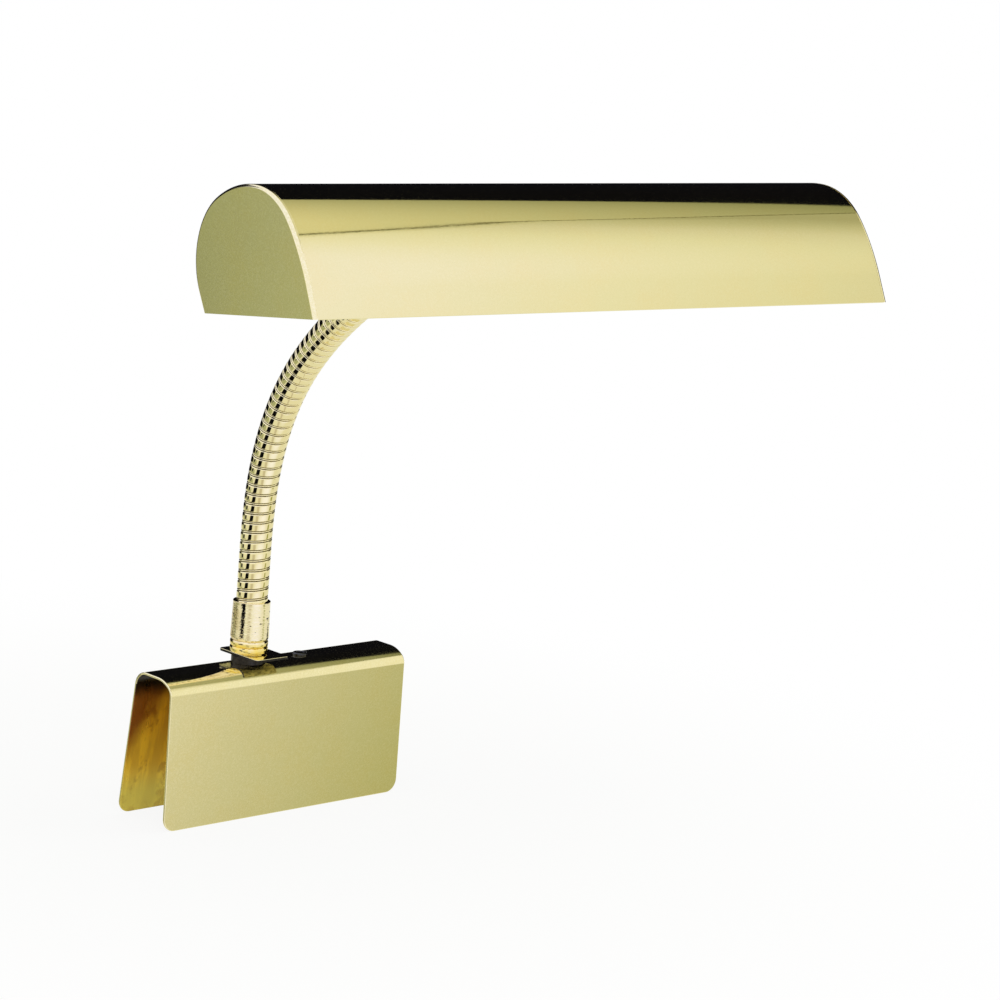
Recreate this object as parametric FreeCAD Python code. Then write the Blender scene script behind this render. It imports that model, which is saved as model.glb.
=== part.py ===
import FreeCAD, Part
import math
import os

# Clip-on piano lamp: a sheet-brass spring clip straddles the top edge of a music desk, a flexible
# neck rises from its crown and carries a half-round brass shade with two tubular bulbs.
# Millimetres, +Z up, X along the clip, -Y towards the player.
# Origin: underside of the clip's crown, at mid length, midway between the two bends.

V = FreeCAD.Vector

# ---- clip ----
CLIP_LENGTH = 179.0
CLIP_SHEET = 1.5
CROWN_FLAT = 11.0            # flat stretch on top, centred on the neck
SHOULDER = 18.3              # outer radius of the crown's fall to the front
SHOULDER_TURN = 36.4         # degrees
FRONT_BEND = 6.6             # outer radius
REAR_BEND = 9.4              # outer radius
FRONT_LEG = 80.0             # straight stretch below the bend
REAR_LEG = 80.6
FRONT_FLARE = 0.5            # degrees off the vertical
REAR_FLARE = 6.8
LEG_CORNER = 8.0

# ---- foot of the neck ----
NECK_X = -18.4               # the neck stands left of the clip's middle
NECK_YAW = -8.2              # degrees, the neck's plane from the clip's, about +Z
SPACER_R = 10.0
SPACER_HEIGHT = 4.4
PLATE_LENGTH = 24.4          # along the clip
PLATE_DEPTH = 35.2
PLATE_THICK = 1.6
PLATE_CORNER = 2.0
PLATE_SHIFT_X = 2.9          # plate centre from the neck's axis
PLATE_SHIFT_Y = -1.6
NIPPLE_R = 4.2
NIPPLE_BORE_R = 3.0
NIPPLE_HOLE_GAP = 0.2
THREAD_GAP = 0.05
WASHER_R = 5.5
WASHER_THICK = 1.0
NUT_FLATS = 11.6
NUT_THICK = 3.0
NIPPLE_PROUD = 1.0           # thread showing past the nut
COLLAR_R = 9.6
COLLAR_HEIGHT = 0.9
BEAD_R = 11.1
BEAD_HEIGHT = 2.3
BEAD_COUNT = 2
SLEEVE_FOOT_R = 11.4
SLEEVE_TOP_R = 10.9
SLEEVE_HEIGHT = 25.5
SLEEVE_GROOVE_DEPTH = 0.5
SLEEVE_GROOVE_AT = 12.0      # above the beads
SLEEVE_GROOVE_WIDTH = 1.6
SLEEVE_LIP = 2.5             # sleeve past the neck's first coil
NECK_INSERT = 10.0           # neck inside each sleeve
SLEEVE_BORE_GAP = 0.1

# ---- cord bushing ----
BUSHING_X = 21.5
BUSHING_HEAD_R = 4.6
BUSHING_HEAD_HEIGHT = 3.0
BUSHING_SHANK_R = 3.6
BUSHING_SHANK_BELOW = 6.0
BUSHING_BORE_R = 2.4
BUSHING_NUT_R = 5.3
BUSHING_NUT_THICK = 2.5
BUSHING_GAP = 0.15

# ---- flexible neck ----
NECK_R = 9.3
COIL_ROOT = 0.8              # groove depth between two coils
COIL_BAND = 4.1              # raised width of a coil
COIL_CHAMFER = 0.7
COILS_PER_SEGMENT = 6
COIL_PITCH = 5.49
NECK_BORE_R = 4.6
SEGMENT_TURNS = (0.0, 7.2, 11.5, 13.5, 12.0, 8.0, 5.5, 5.5, 7.8, 12.0)   # degrees, foot to shade
BALL_OVER = 1.3              # joint ball radius over the neck's
BALL_GAP = 0.35
BALL_FACETS = 5

# ---- shade profile, from the front edge over the crown to the rear edge ----
SHADE_LENGTH = 355.6
SHADE_SHEET = 0.8
FRONT_SLOPE = 19.3           # degrees off the vertical
FRONT_SKIRT = 15.0
PROFILE_ARCS = ((120.0, 16.0), (43.6, 46.5), (68.1, 32.7), (35.2, 90.5))   # radius, turn
SHADE_ROLL = -0.8            # about the neck's end axis
CAP_DEPTH = 2.2
CAP_EDGE = 1.5               # rolled edge radius
CAP_FACE = 0.9
CAP_LIP_LENGTH = 6.0
CAP_LIP_WALL = 0.8
CAP_GAP = 0.1

# ---- shade fixing ----
FIX_WASHER_R = 8.5
FIX_WASHER_THICK = 1.5
UPPER_SLEEVE_STOP = 14.5     # wall to the neck's end
BRACKET_SHEET = 1.2
BRACKET_WIDTH = 38.0         # outside the two ears
BRACKET_DEPTH = 34.0         # of each ear
BRACKET_HEIGHT = 38.0
FLANGE_WIDTH = 19.0
BRACKET_FLOOR = 16.0         # floor of the bracket above the shade's mouth

# ---- bulbs and sockets ----
BULB_Y = 8.0                 # bulb axis from the middle of the mouth
BULB_Z = 37.0                # and above it
SOCKET_R = 15.0
SOCKET_BASE = 6.0
SHELL_WALL = 0.4
CAP_FIT_GAP = 0.1
BULB_CAP_R = 12.9
BULB_CAP_LENGTH = 24.0
BULB_CAP_START = 9.0         # from the socket's mounting face
SOCKET_PAST_CAP = 4.0
SOCKET_LENGTH = BULB_CAP_START + BULB_CAP_LENGTH + SOCKET_PAST_CAP
BULB_R = 16.0
BULB_LENGTH = 140.0
GLASS_WALL = 0.8
GLASS_IN_CAP = 4.0
GLASS_NECK = 2.0             # straight stretch past the cap
CAP_FLOOR = 1.0              # thickness
GLASS_SHOULDER = 12.0
CONTACT_R = 4.0
STEM_FOOT_R = 6.0
STEM_R = 3.0
STEM_LENGTH = 24.0
ROD_R = 0.9
ROD_END_GAP = 12.0           # rod's end to the glass's tip
FILAMENT_R = 0.35
FILAMENT_OFFSET = 1.7        # from the rod's axis
SUPPORT_R = 2.4
SUPPORT_THICK = 0.8
SUPPORTS = 4
SCREW_R = 1.6
SCREW_HEAD_R = 2.8
SCREW_HEAD = 1.4
SCREW_SPACING = 20.0

# ---- switch ----
SWITCH_WIDTH = 24.0
SWITCH_DEPTH = 20.0
SWITCH_HEIGHT = 16.0
SWITCH_NECK_R = 4.6
SWITCH_NUT_R = 6.6
SWITCH_NUT_THICK = 2.0
SWITCH_NECK_LENGTH = 5.0
SWITCH_BORE = 8.0            # depth, from the neck's end
STEM_GAP = 0.05
KNOB_STEM_R = 2.0
KNOB_STEM_LENGTH = 8.0
KNOB_R = 6.0
KNOB_LENGTH = 8.0
KNOB_FLUTES = 12
KNOB_FLUTE_R = 0.8
KNOB_GAP = 0.4
LEAD_R = 1.3
LEAD_SPACING = 3.4
LEAD_IN_NIPPLE = 4.0

# ---- derived places ----
CROWN_TOP = CLIP_SHEET
SPACER_TOP = CROWN_TOP + SPACER_HEIGHT
PLATE_TOP = SPACER_TOP + PLATE_THICK
BEADS_FOOT = PLATE_TOP + COLLAR_HEIGHT
SLEEVE_FOOT = BEADS_FOOT + BEAD_COUNT * BEAD_HEIGHT
SLEEVE_TOP = SLEEVE_FOOT + SLEEVE_HEIGHT
NECK_START = SLEEVE_TOP - SLEEVE_LIP
SEGMENT_LENGTH = COILS_PER_SEGMENT * COIL_PITCH
SEGMENTS = len(SEGMENT_TURNS)
BALL_R = NECK_R + BALL_OVER
SHADE_TILT = 90.0 - sum(SEGMENT_TURNS)
SIDES = (("left", -1.0), ("right", 1.0))
UP = V(0, 0, 1)
EAST = V(1, 0, 0)
NORTH = V(0, 1, 0)
YAW = FreeCAD.Rotation(UP, NECK_YAW)
ACROSS = YAW.multVec(EAST)       # square to the neck's plane
BACK = YAW.multVec(NORTH)        # in the neck's plane, away from the player


def heading(angle):
    """Unit vector in the neck's plane, angle degrees from upright towards the player."""
    a = math.radians(angle)
    return UP * math.cos(a) - BACK * math.sin(a)


def inward(angle):
    """Unit vector from the neck's axis to its centre of curvature."""
    a = math.radians(angle)
    return -BACK * math.cos(a) - UP * math.sin(a)


def step_along(point, angle, length, turn):
    """End of an arc of the given length and turn that leaves point at angle."""
    if turn == 0:
        return point + heading(angle) * length
    radius = length / math.radians(turn)
    centre = point + inward(angle) * radius
    return centre - inward(angle + turn) * radius


def neck_stations():
    """Point and heading at each end of the neck's segments."""
    point, angle = V(NECK_X, 0, NECK_START), 0.0
    stations = [(point, angle)]
    for turn in SEGMENT_TURNS:
        point = step_along(point, angle, SEGMENT_LENGTH, turn)
        angle += turn
        stations.append((point, angle))
    return stations


STATIONS = neck_stations()


def tube(point, direction, length, outer, inner):
    body = Part.makeCylinder(outer, length, point, direction)
    bore = Part.makeCylinder(inner, length + 2, point - direction, direction)
    return body.cut(bore)


def lathe(points, centre, direction, side):
    """Solid of revolution; each point is (radius, distance along direction)."""
    corners = [centre + side * r + direction * h for r, h in points]
    face = Part.Face(Part.makePolygon(corners + corners[:1]))
    return face.revolve(centre, direction, 360)


def hex_prism(centre, direction, side, flats, thick):
    other = direction.cross(side)
    radius = flats / math.sqrt(3)
    corners = []
    for k in range(6):
        a = math.radians(60 * k)
        corners.append(centre + side * (radius * math.cos(a)) + other * (radius * math.sin(a)))
    return Part.Face(Part.makePolygon(corners + corners[:1])).extrude(direction * thick)


def nut(centre, direction, side, flats, thick, bore):
    prism = hex_prism(centre, direction, side, flats, thick)
    return prism.cut(Part.makeCylinder(bore, thick + 2, centre - direction, direction))


def box(x0, x1, y0, y1, z0, z1):
    return Part.makeBox(x1 - x0, y1 - y0, z1 - z0, V(x0, y0, z0))


# ---------------------------------------------------------------- clip


CLIP_SIDES = {
    -1: (((SHOULDER, SHOULDER_TURN), (FRONT_BEND, 90 - FRONT_FLARE - SHOULDER_TURN)), FRONT_LEG),
    1: (((REAR_BEND, 90 - REAR_FLARE),), REAR_LEG),
}


def clip_side(side, depth):
    """Edges of one side of the clip's skin, depth inside the outer skin, and the leg's end; -1 is the front."""
    bends, leg = CLIP_SIDES[side]
    here = V(0, side * CROWN_FLAT / 2, CROWN_TOP - depth)
    angle = 0.0
    edges = []
    for radius, turn in bends:
        corners = []
        for share in (0.0, 0.5, 1.0):
            a = math.radians(angle + turn * share)
            out = V(0, side * math.sin(a), math.cos(a)) * (radius - depth)
            if share == 0.0:
                centre = here - out
            corners.append(centre + out)
        edges.append(Part.Arc(*corners).toShape())
        here = corners[-1]
        angle += turn
    a = math.radians(angle)
    end = here + V(0, side * math.cos(a), -math.sin(a)) * leg
    edges.append(Part.makeLine(here, end))
    return edges, end


def clip_outline():
    """Closed section of the clip's sheet in the YZ plane."""
    edges = []
    ends = []
    for depth in (0.0, CLIP_SHEET):
        front, front_end = clip_side(-1, depth)
        rear, rear_end = clip_side(1, depth)
        z = CROWN_TOP - depth
        edges += front + rear
        edges.append(Part.makeLine(V(0, -CROWN_FLAT / 2, z), V(0, CROWN_FLAT / 2, z)))
        ends.append((front_end, rear_end))
    edges.append(Part.makeLine(ends[0][0], ends[1][0]))
    edges.append(Part.makeLine(ends[0][1], ends[1][1]))
    return Part.Face(Part.Wire(Part.__sortEdges__(edges)))


def corner_cutter(end_x, inner_x, end_z, y0, y1):
    """Block that leaves a quarter-round corner of LEG_CORNER at end_x, end_z."""
    x0, x1 = sorted((end_x, inner_x))
    block = box(x0, x1, y0, y1, end_z, end_z + LEG_CORNER)
    round_part = Part.makeCylinder(LEG_CORNER, y1 - y0, V(inner_x, y0, end_z + LEG_CORNER), V(0, 1, 0))
    return block.cut(round_part)


def clip_saddle():
    half = CLIP_LENGTH / 2
    sheet = clip_outline()
    sheet.translate(V(-half, 0, 0))
    body = sheet.extrude(V(CLIP_LENGTH, 0, 0))
    for side in (-1, 1):
        end = clip_side(side, 0.0)[1]
        y0, y1 = sorted((0.0, 2 * end.y))
        for hand in (-1, 1):
            cutter = corner_cutter(hand * half, hand * (half - LEG_CORNER), end.z, y0, y1)
            body = body.cut(cutter)
    through = CROWN_TOP + 2
    for x, radius in ((NECK_X, NIPPLE_R + NIPPLE_HOLE_GAP), (BUSHING_X, BUSHING_SHANK_R + BUSHING_GAP)):
        body = body.cut(Part.makeCylinder(radius, through, V(x, 0, -1)))
    return body


# ---------------------------------------------------------------- foot


def foot_spacer():
    return tube(V(NECK_X, 0, CROWN_TOP), UP, SPACER_HEIGHT, SPACER_R, NIPPLE_R + NIPPLE_HOLE_GAP)


def foot_plate():
    x, y = NECK_X + PLATE_SHIFT_X, PLATE_SHIFT_Y
    plate = box(x - PLATE_LENGTH / 2, x + PLATE_LENGTH / 2, y - PLATE_DEPTH / 2, y + PLATE_DEPTH / 2,
                SPACER_TOP, PLATE_TOP)
    uprights = [e for e in plate.Edges if abs(e.tangentAt(e.FirstParameter).z) > 0.9]
    plate = plate.makeFillet(PLATE_CORNER, uprights)
    return plate.cut(Part.makeCylinder(NIPPLE_R + NIPPLE_HOLE_GAP, PLATE_TOP + 1, V(NECK_X, 0, 0)))


def sleeve_profile(bore, stop):
    """Outline of a neck sleeve from its collar up: radius, height above the collar's face."""
    beads = COLLAR_HEIGHT + BEAD_COUNT * BEAD_HEIGHT
    top = beads + SLEEVE_HEIGHT
    groove = beads + SLEEVE_GROOVE_AT
    taper = (SLEEVE_TOP_R - SLEEVE_FOOT_R) / SLEEVE_HEIGHT
    groove_r = SLEEVE_FOOT_R + taper * SLEEVE_GROOVE_AT
    points = [(NIPPLE_R + THREAD_GAP, 0), (COLLAR_R, 0), (COLLAR_R, COLLAR_HEIGHT)]
    for k in range(BEAD_COUNT):
        foot = COLLAR_HEIGHT + k * BEAD_HEIGHT
        quarter = BEAD_HEIGHT / 4
        points += [(COLLAR_R, foot), (BEAD_R, foot + quarter), (BEAD_R, foot + 3 * quarter),
                   (COLLAR_R, foot + BEAD_HEIGHT)]
    points += [(SLEEVE_FOOT_R, beads + SLEEVE_FOOT_R - COLLAR_R),
               (groove_r, groove - SLEEVE_GROOVE_WIDTH / 2),
               (groove_r - SLEEVE_GROOVE_DEPTH, groove),
               (groove_r, groove + SLEEVE_GROOVE_WIDTH / 2),
               (SLEEVE_TOP_R, top), (bore, top), (bore, stop), (NIPPLE_R + THREAD_GAP, stop)]
    unique = [p for k, p in enumerate(points) if k == 0 or p != points[k - 1]]
    return unique


def lower_sleeve():
    stop = NECK_START - NECK_INSERT - PLATE_TOP
    points = sleeve_profile(NECK_R + SLEEVE_BORE_GAP, stop)
    return lathe(points, V(NECK_X, 0, PLATE_TOP), UP, EAST)


def foot_nipple():
    bottom = -(WASHER_THICK + NUT_THICK + NIPPLE_PROUD)
    top = NECK_START - NECK_INSERT
    return tube(V(NECK_X, 0, bottom), UP, top - bottom, NIPPLE_R, NIPPLE_BORE_R)


def foot_washer():
    return tube(V(NECK_X, 0, -WASHER_THICK), UP, WASHER_THICK, WASHER_R, NIPPLE_R + NIPPLE_HOLE_GAP)


def foot_nut():
    foot = V(NECK_X, 0, -WASHER_THICK - NUT_THICK)
    return nut(foot, UP, EAST, NUT_FLATS, NUT_THICK, NIPPLE_R + THREAD_GAP)


def cord_bushing():
    top = CROWN_TOP + BUSHING_HEAD_HEIGHT
    points = [(BUSHING_BORE_R, -BUSHING_SHANK_BELOW), (BUSHING_SHANK_R, -BUSHING_SHANK_BELOW),
              (BUSHING_SHANK_R, CROWN_TOP), (BUSHING_HEAD_R, CROWN_TOP),
              (BUSHING_HEAD_R, CROWN_TOP + BUSHING_HEAD_HEIGHT / 2),
              (BUSHING_HEAD_R - BUSHING_HEAD_HEIGHT / 2, top), (BUSHING_BORE_R, top)]
    return lathe(points, V(BUSHING_X, 0, 0), UP, EAST)


def bushing_nut():
    foot = V(BUSHING_X, 0, -BUSHING_NUT_THICK)
    return tube(foot, UP, BUSHING_NUT_THICK, BUSHING_NUT_R, BUSHING_SHANK_R + THREAD_GAP)


# ---------------------------------------------------------------- neck


def neck_ring(index, along, radius):
    """Circle square to a segment's axis; past its ends the axis runs on straight."""
    point, angle = STATIONS[index]
    on_arc = min(max(along, 0.0), SEGMENT_LENGTH)
    turn = SEGMENT_TURNS[index] * on_arc / SEGMENT_LENGTH
    centre = step_along(point, angle, on_arc, turn) + heading(angle + turn) * (along - on_arc)
    ring = Part.Wire(Part.makeCircle(radius))
    ring.Placement = FreeCAD.Placement(centre, FreeCAD.Rotation(ACROSS, V(), heading(angle + turn), "ZXY"))
    return ring


def ball_outline(radius, centre, start_r, end_r):
    """Points on a ball's outline between two distances from the axis."""
    first, last = math.asin(start_r / radius), math.asin(end_r / radius)
    turns = [first + (last - first) * k / BALL_FACETS for k in range(BALL_FACETS + 1)]
    return [(centre + radius * math.cos(a), radius * math.sin(a)) for a in turns]


def coil_outline(coils):
    """Raised coils with a groove between each two: distance along the neck, radius."""
    root = NECK_R - COIL_ROOT
    points = []
    for k in range(coils):
        foot = (k + 0.5) * COIL_PITCH - COIL_BAND / 2
        top = foot + COIL_BAND
        points += [(foot, root), (foot + COIL_CHAMFER, NECK_R), (top - COIL_CHAMFER, NECK_R), (top, root)]
    return points


def foot_outline(index):
    """Foot of a segment from its bore outwards, and how many outline points it takes from the coils."""
    if index == 0:
        return [(-NECK_INSERT, NECK_BORE_R), (-NECK_INSERT, NECK_R), (0, NECK_R), (0, NECK_R - COIL_ROOT)], 0
    mouth = coil_outline(2)[5][0]
    socket = BALL_R + BALL_GAP
    return ball_outline(socket, 0, NECK_BORE_R, math.sqrt(socket ** 2 - mouth ** 2)), 5


def end_outline(index):
    """End of a segment from its last coil inwards: a ball for the joint, or the plain end in the upper sleeve."""
    root = NECK_R - COIL_ROOT
    if index < SEGMENTS - 1:
        return ball_outline(BALL_R, SEGMENT_LENGTH, root, NECK_BORE_R)
    end = SEGMENT_LENGTH + NECK_INSERT
    return [(SEGMENT_LENGTH, root), (SEGMENT_LENGTH, NECK_R), (end, NECK_R), (end, NECK_BORE_R)]


def neck_segment(index):
    """Hollow stretch of the neck: its rings run up the outside and back down the bore."""
    foot, skipped = foot_outline(index)
    coils = COILS_PER_SEGMENT if index == SEGMENTS - 1 else COILS_PER_SEGMENT + 1
    outline = foot + coil_outline(coils)[skipped:] + end_outline(index)
    first = 0 if index == 0 else 2
    outline += [(k * COIL_PITCH, NECK_BORE_R) for k in range(COILS_PER_SEGMENT, first - 1, -1)]
    rings = [neck_ring(index, along, radius) for along, radius in outline]
    bands = [Part.makeRuledSurface(lower, upper) for lower, upper in zip(rings, rings[1:] + rings[:1])]
    shell = Part.makeShell([face for band in bands for face in band.Faces])
    shell.sewShape()
    body = Part.makeSolid(shell)
    if body.Volume < 0:
        body.reverse()
    return body


# ---------------------------------------------------------------- shade, in its own frame
# The shade's own frame has its origin where the neck's axis meets the outside of the rear wall,
# X along the shade, +Y out of the rear wall, Z up from the mouth.


def run(angle):
    """Direction along the profile, angle degrees from straight up, turning over towards the rear."""
    a = math.radians(angle)
    return V(0, math.sin(a), math.cos(a))


def right_of(angle):
    a = math.radians(angle)
    return V(0, math.cos(a), -math.sin(a))


def profile_points(inset):
    """Corner and mid points of the shade's section, inset from its outer skin, front edge at y = 0."""
    slope = math.radians(FRONT_SLOPE)
    here = V(0, inset / math.cos(slope), 0)
    there = here + run(FRONT_SLOPE) * (FRONT_SKIRT - inset * math.tan(slope))
    pieces = [("line", here, there)]
    angle = FRONT_SLOPE
    here = there
    for radius, turn in PROFILE_ARCS:
        centre = here + right_of(angle) * (radius - inset)
        mid = centre - right_of(angle + turn / 2) * (radius - inset)
        there = centre - right_of(angle + turn) * (radius - inset)
        pieces.append(("arc", here, mid, there))
        angle += turn
        here = there
    end = here + run(angle) * (-here.z / math.cos(math.radians(angle)))
    pieces.append(("line", here, end))
    return pieces


def attach_point():
    """Where the rear wall stands upright: the outermost point of the last arc."""
    angle = FRONT_SLOPE + sum(turn for _, turn in PROFILE_ARCS)
    radius = PROFILE_ARCS[-1][0]
    last_arc_end = profile_points(0.0)[-1][1]
    centre = last_arc_end + right_of(angle) * radius
    return centre + V(0, radius, 0)


ATTACH = attach_point()
MOUTH_DEPTH = profile_points(0.0)[-1][2].y
MOUTH_Z = -ATTACH.z                              # the mouth in the shade's frame
MOUTH_MID_Y = MOUTH_DEPTH / 2 - ATTACH.y


def profile_edges(inset):
    edges = []
    for piece in profile_points(inset):
        corners = [p - ATTACH for p in piece[1:]]
        if piece[0] == "line":
            edges.append(Part.makeLine(*corners))
        else:
            edges.append(Part.Arc(*corners).toShape())
    return edges


def profile_face(inset):
    """Face bounded by the profile and the mouth."""
    edges = profile_edges(inset)
    start = edges[0].Vertexes[0].Point
    end = edges[-1].Vertexes[-1].Point
    edges.append(Part.makeLine(end, start))
    return Part.Face(Part.Wire(Part.__sortEdges__(edges)))


def slab(face, x0, x1):
    moved = face.copy()
    moved.translate(V(x0, 0, 0))
    return moved.extrude(V(x1 - x0, 0, 0))


def shade_shell():
    half = SHADE_LENGTH / 2 - CAP_DEPTH
    body = slab(profile_face(0.0), -half, half).cut(slab(profile_face(SHADE_SHEET), -half - 1, half + 1))
    hole = Part.makeCylinder(NIPPLE_R + NIPPLE_HOLE_GAP, 4 * SHADE_SHEET, V(0, -2 * SHADE_SHEET, 0), NORTH)
    return body.cut(hole)


def end_cap(side):
    """Drawn cap: a face with a rolled edge, and a lip that slides inside the shell."""
    outer_x = side * SHADE_LENGTH / 2
    seat_x = side * (SHADE_LENGTH / 2 - CAP_DEPTH)
    face_x = outer_x - side * CAP_FACE
    pan = slab(profile_face(0.0), seat_x, outer_x)
    rim = [e for e in pan.Edges if abs(e.CenterOfMass.x - outer_x) < 0.01]
    pan = pan.makeFillet(CAP_EDGE, rim)
    lip_outer = SHADE_SHEET + CAP_GAP
    lip_x = seat_x - side * CAP_LIP_LENGTH
    lip = slab(profile_face(lip_outer), lip_x, seat_x)
    hollow = slab(profile_face(lip_outer + CAP_LIP_WALL), lip_x - side, face_x)
    return pan.fuse(lip).cut(hollow)


def fix_washer(foot_y):
    """Washer on one side of the rear wall."""
    return tube(V(0, foot_y, 0), NORTH, FIX_WASHER_THICK, FIX_WASHER_R, NIPPLE_R + NIPPLE_HOLE_GAP)


def upper_sleeve():
    stop = UPPER_SLEEVE_STOP - FIX_WASHER_THICK
    top = stop + NECK_INSERT + SLEEVE_LIP
    bore = NECK_R + SLEEVE_BORE_GAP
    inner = NIPPLE_R + THREAD_GAP
    points = [(inner, 0), (BEAD_R, 0), (SLEEVE_FOOT_R, SLEEVE_FOOT_R - BEAD_R),
              (SLEEVE_TOP_R, top), (bore, top), (bore, stop), (inner, stop)]
    return lathe(points, V(0, FIX_WASHER_THICK, 0), NORTH, EAST)


WALL_INNER_R = PROFILE_ARCS[-1][0] - SHADE_SHEET
WALL_SAG = WALL_INNER_R - math.sqrt(WALL_INNER_R ** 2 - FIX_WASHER_R ** 2)
WASHER_SEAT_Y = -SHADE_SHEET - WALL_SAG                # the washer's rim bears on the hollow wall
BRACKET_FACE_Y = WASHER_SEAT_Y - FIX_WASHER_THICK      # flange's rear face
BRACKET_FLOOR_Z = MOUTH_Z + BRACKET_FLOOR
BULB_AXIS_Y = MOUTH_MID_Y + BULB_Y
BULB_AXIS_Z = MOUTH_Z + BULB_Z
SWITCH_FOOT_Z = BRACKET_FLOOR_Z + BRACKET_SHEET
SIDE_LEAD_Z = min(BULB_AXIS_Z, SWITCH_FOOT_Z + SWITCH_HEIGHT - LEAD_R)
EAR_X = BRACKET_WIDTH / 2


def shade_nipple():
    length = UPPER_SLEEVE_STOP - BRACKET_FACE_Y + BRACKET_SHEET + NUT_THICK + NIPPLE_PROUD
    return tube(V(0, UPPER_SLEEVE_STOP, 0), -NORTH, length, NIPPLE_R, NIPPLE_BORE_R)


def shade_nut():
    face = V(0, BRACKET_FACE_Y - BRACKET_SHEET, 0)
    return nut(face, -NORTH, EAST, NUT_FLATS, NUT_THICK, NIPPLE_R + THREAD_GAP)


def socket_bracket():
    """Folded sheet: a rear flange on the nipple, a floor for the switch and two ears for the sockets."""
    front = BULB_AXIS_Y - BRACKET_DEPTH / 2
    rear = BRACKET_FACE_Y
    top = BRACKET_FLOOR_Z + BRACKET_HEIGHT
    sheet = BRACKET_SHEET
    floor = box(-EAR_X, EAR_X, front, rear, BRACKET_FLOOR_Z, BRACKET_FLOOR_Z + sheet)
    flange = box(-FLANGE_WIDTH / 2, FLANGE_WIDTH / 2, rear - sheet, rear, BRACKET_FLOOR_Z,
                 FIX_WASHER_R + sheet)
    pieces = [flange]
    for _, side in SIDES:
        x0, x1 = sorted((side * EAR_X, side * (EAR_X - sheet)))
        ear = box(x0, x1, front, front + BRACKET_DEPTH, BRACKET_FLOOR_Z, top)
        screw = Part.makeCylinder(SCREW_R + CAP_GAP, 4 * sheet, V(0, BULB_AXIS_Y, BULB_AXIS_Z), EAST)
        for y in (-SCREW_SPACING / 2, SCREW_SPACING / 2):
            hole = screw.copy()
            hole.translate(V(side * EAR_X - 2 * sheet, y, 0))
            ear = ear.cut(hole)
        lead = Part.makeCylinder(LEAD_R + CAP_GAP, 4 * sheet,
                                 V(side * EAR_X - 2 * sheet, BULB_AXIS_Y, SIDE_LEAD_Z), EAST)
        pieces.append(ear.cut(lead))
    body = floor.multiFuse(pieces)
    body = body.cut(Part.makeCylinder(NIPPLE_R + NIPPLE_HOLE_GAP, 4 * sheet, V(0, rear - 2 * sheet, 0), NORTH))
    neck = Part.makeCylinder(SWITCH_NECK_R + CAP_GAP, 4 * sheet, V(0, BULB_AXIS_Y, BRACKET_FLOOR_Z - sheet), UP)
    return body.cut(neck).removeSplitter()


# ---------------------------------------------------------------- sockets and bulbs


def socket_places(side):
    """Mounting face centre of a socket and the way its bulb points."""
    return V(side * EAR_X, BULB_AXIS_Y, BULB_AXIS_Z), V(side, 0, 0)


def socket_body(side):
    foot, out = socket_places(side)
    body = tube(foot, out, SOCKET_LENGTH, SOCKET_R, BULB_CAP_R + 2 * CAP_FIT_GAP + SHELL_WALL)
    base = Part.makeCylinder(SOCKET_R, SOCKET_BASE, foot, out)
    body = body.fuse(base)
    for y in (-SCREW_SPACING / 2, SCREW_SPACING / 2):
        body = body.cut(Part.makeCylinder(SCREW_R, SOCKET_BASE, foot + V(0, y, 0), out))
    return body


def screw_shell(side):
    foot, out = socket_places(side)
    inner = BULB_CAP_R + CAP_FIT_GAP
    return tube(foot + out * SOCKET_BASE, out, SOCKET_LENGTH - SOCKET_BASE - 1, inner + SHELL_WALL, inner)


def centre_contact(side):
    foot, out = socket_places(side)
    return Part.makeCylinder(CONTACT_R, BULB_CAP_START - SOCKET_BASE, foot + out * SOCKET_BASE, out)


def socket_screws():
    """Four screws, two through each ear into its socket."""
    screws = []
    for _, side in SIDES:
        foot, out = socket_places(side)
        for y in (-SCREW_SPACING / 2, SCREW_SPACING / 2):
            seat = foot + V(0, y, 0) - out * BRACKET_SHEET
            shank = Part.makeCylinder(SCREW_R - THREAD_GAP, SOCKET_BASE, seat, out)
            head = Part.makeCylinder(SCREW_HEAD_R, SCREW_HEAD, seat - out * SCREW_HEAD, out)
            screws.append(head.fuse(shank))
    return Part.makeCompound(screws)


def cap_floor(radius):
    """Height of the conical floor inside the cap, above its contact."""
    edge = BULB_CAP_R - CONTACT_R
    slope = (edge / 6 + CAP_FLOOR) / (BULB_CAP_R - SHELL_WALL)
    return edge / 3 + slope * radius


def bulb_cap(side):
    foot, out = socket_places(side)
    start = foot + out * BULB_CAP_START
    edge = BULB_CAP_R - CONTACT_R
    inner = BULB_CAP_R - SHELL_WALL
    points = [(0, 0), (CONTACT_R, 0), (CONTACT_R + 1, edge / 3), (BULB_CAP_R, edge / 2),
              (BULB_CAP_R, BULB_CAP_LENGTH), (inner, BULB_CAP_LENGTH), (inner, cap_floor(inner)), (0, cap_floor(0))]
    return lathe(points, start, out, UP)


def glass_outline(inset):
    """Half section of the glass, from the cap's mouth to the tip: radius, distance from the cap's tip."""
    neck = BULB_CAP_R - SHELL_WALL - CAP_FIT_GAP
    start = BULB_CAP_LENGTH - GLASS_IN_CAP
    body = BULB_R - inset
    tip = BULB_LENGTH - inset
    points = [(neck - inset, start), (neck - inset, BULB_CAP_LENGTH + GLASS_NECK),
              (body, BULB_CAP_LENGTH + GLASS_SHOULDER)]
    for k in range(1, 7):
        a = math.radians(90 * k / 6)
        points.append((max(body * math.cos(a), 0.0), tip - body + body * math.sin(a)))
    return points


def bulb_glass(side):
    foot, out = socket_places(side)
    start = foot + out * BULB_CAP_START
    outer = glass_outline(0.0)
    inner = glass_outline(GLASS_WALL)
    return lathe(outer + inner[::-1], start, out, UP)


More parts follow.
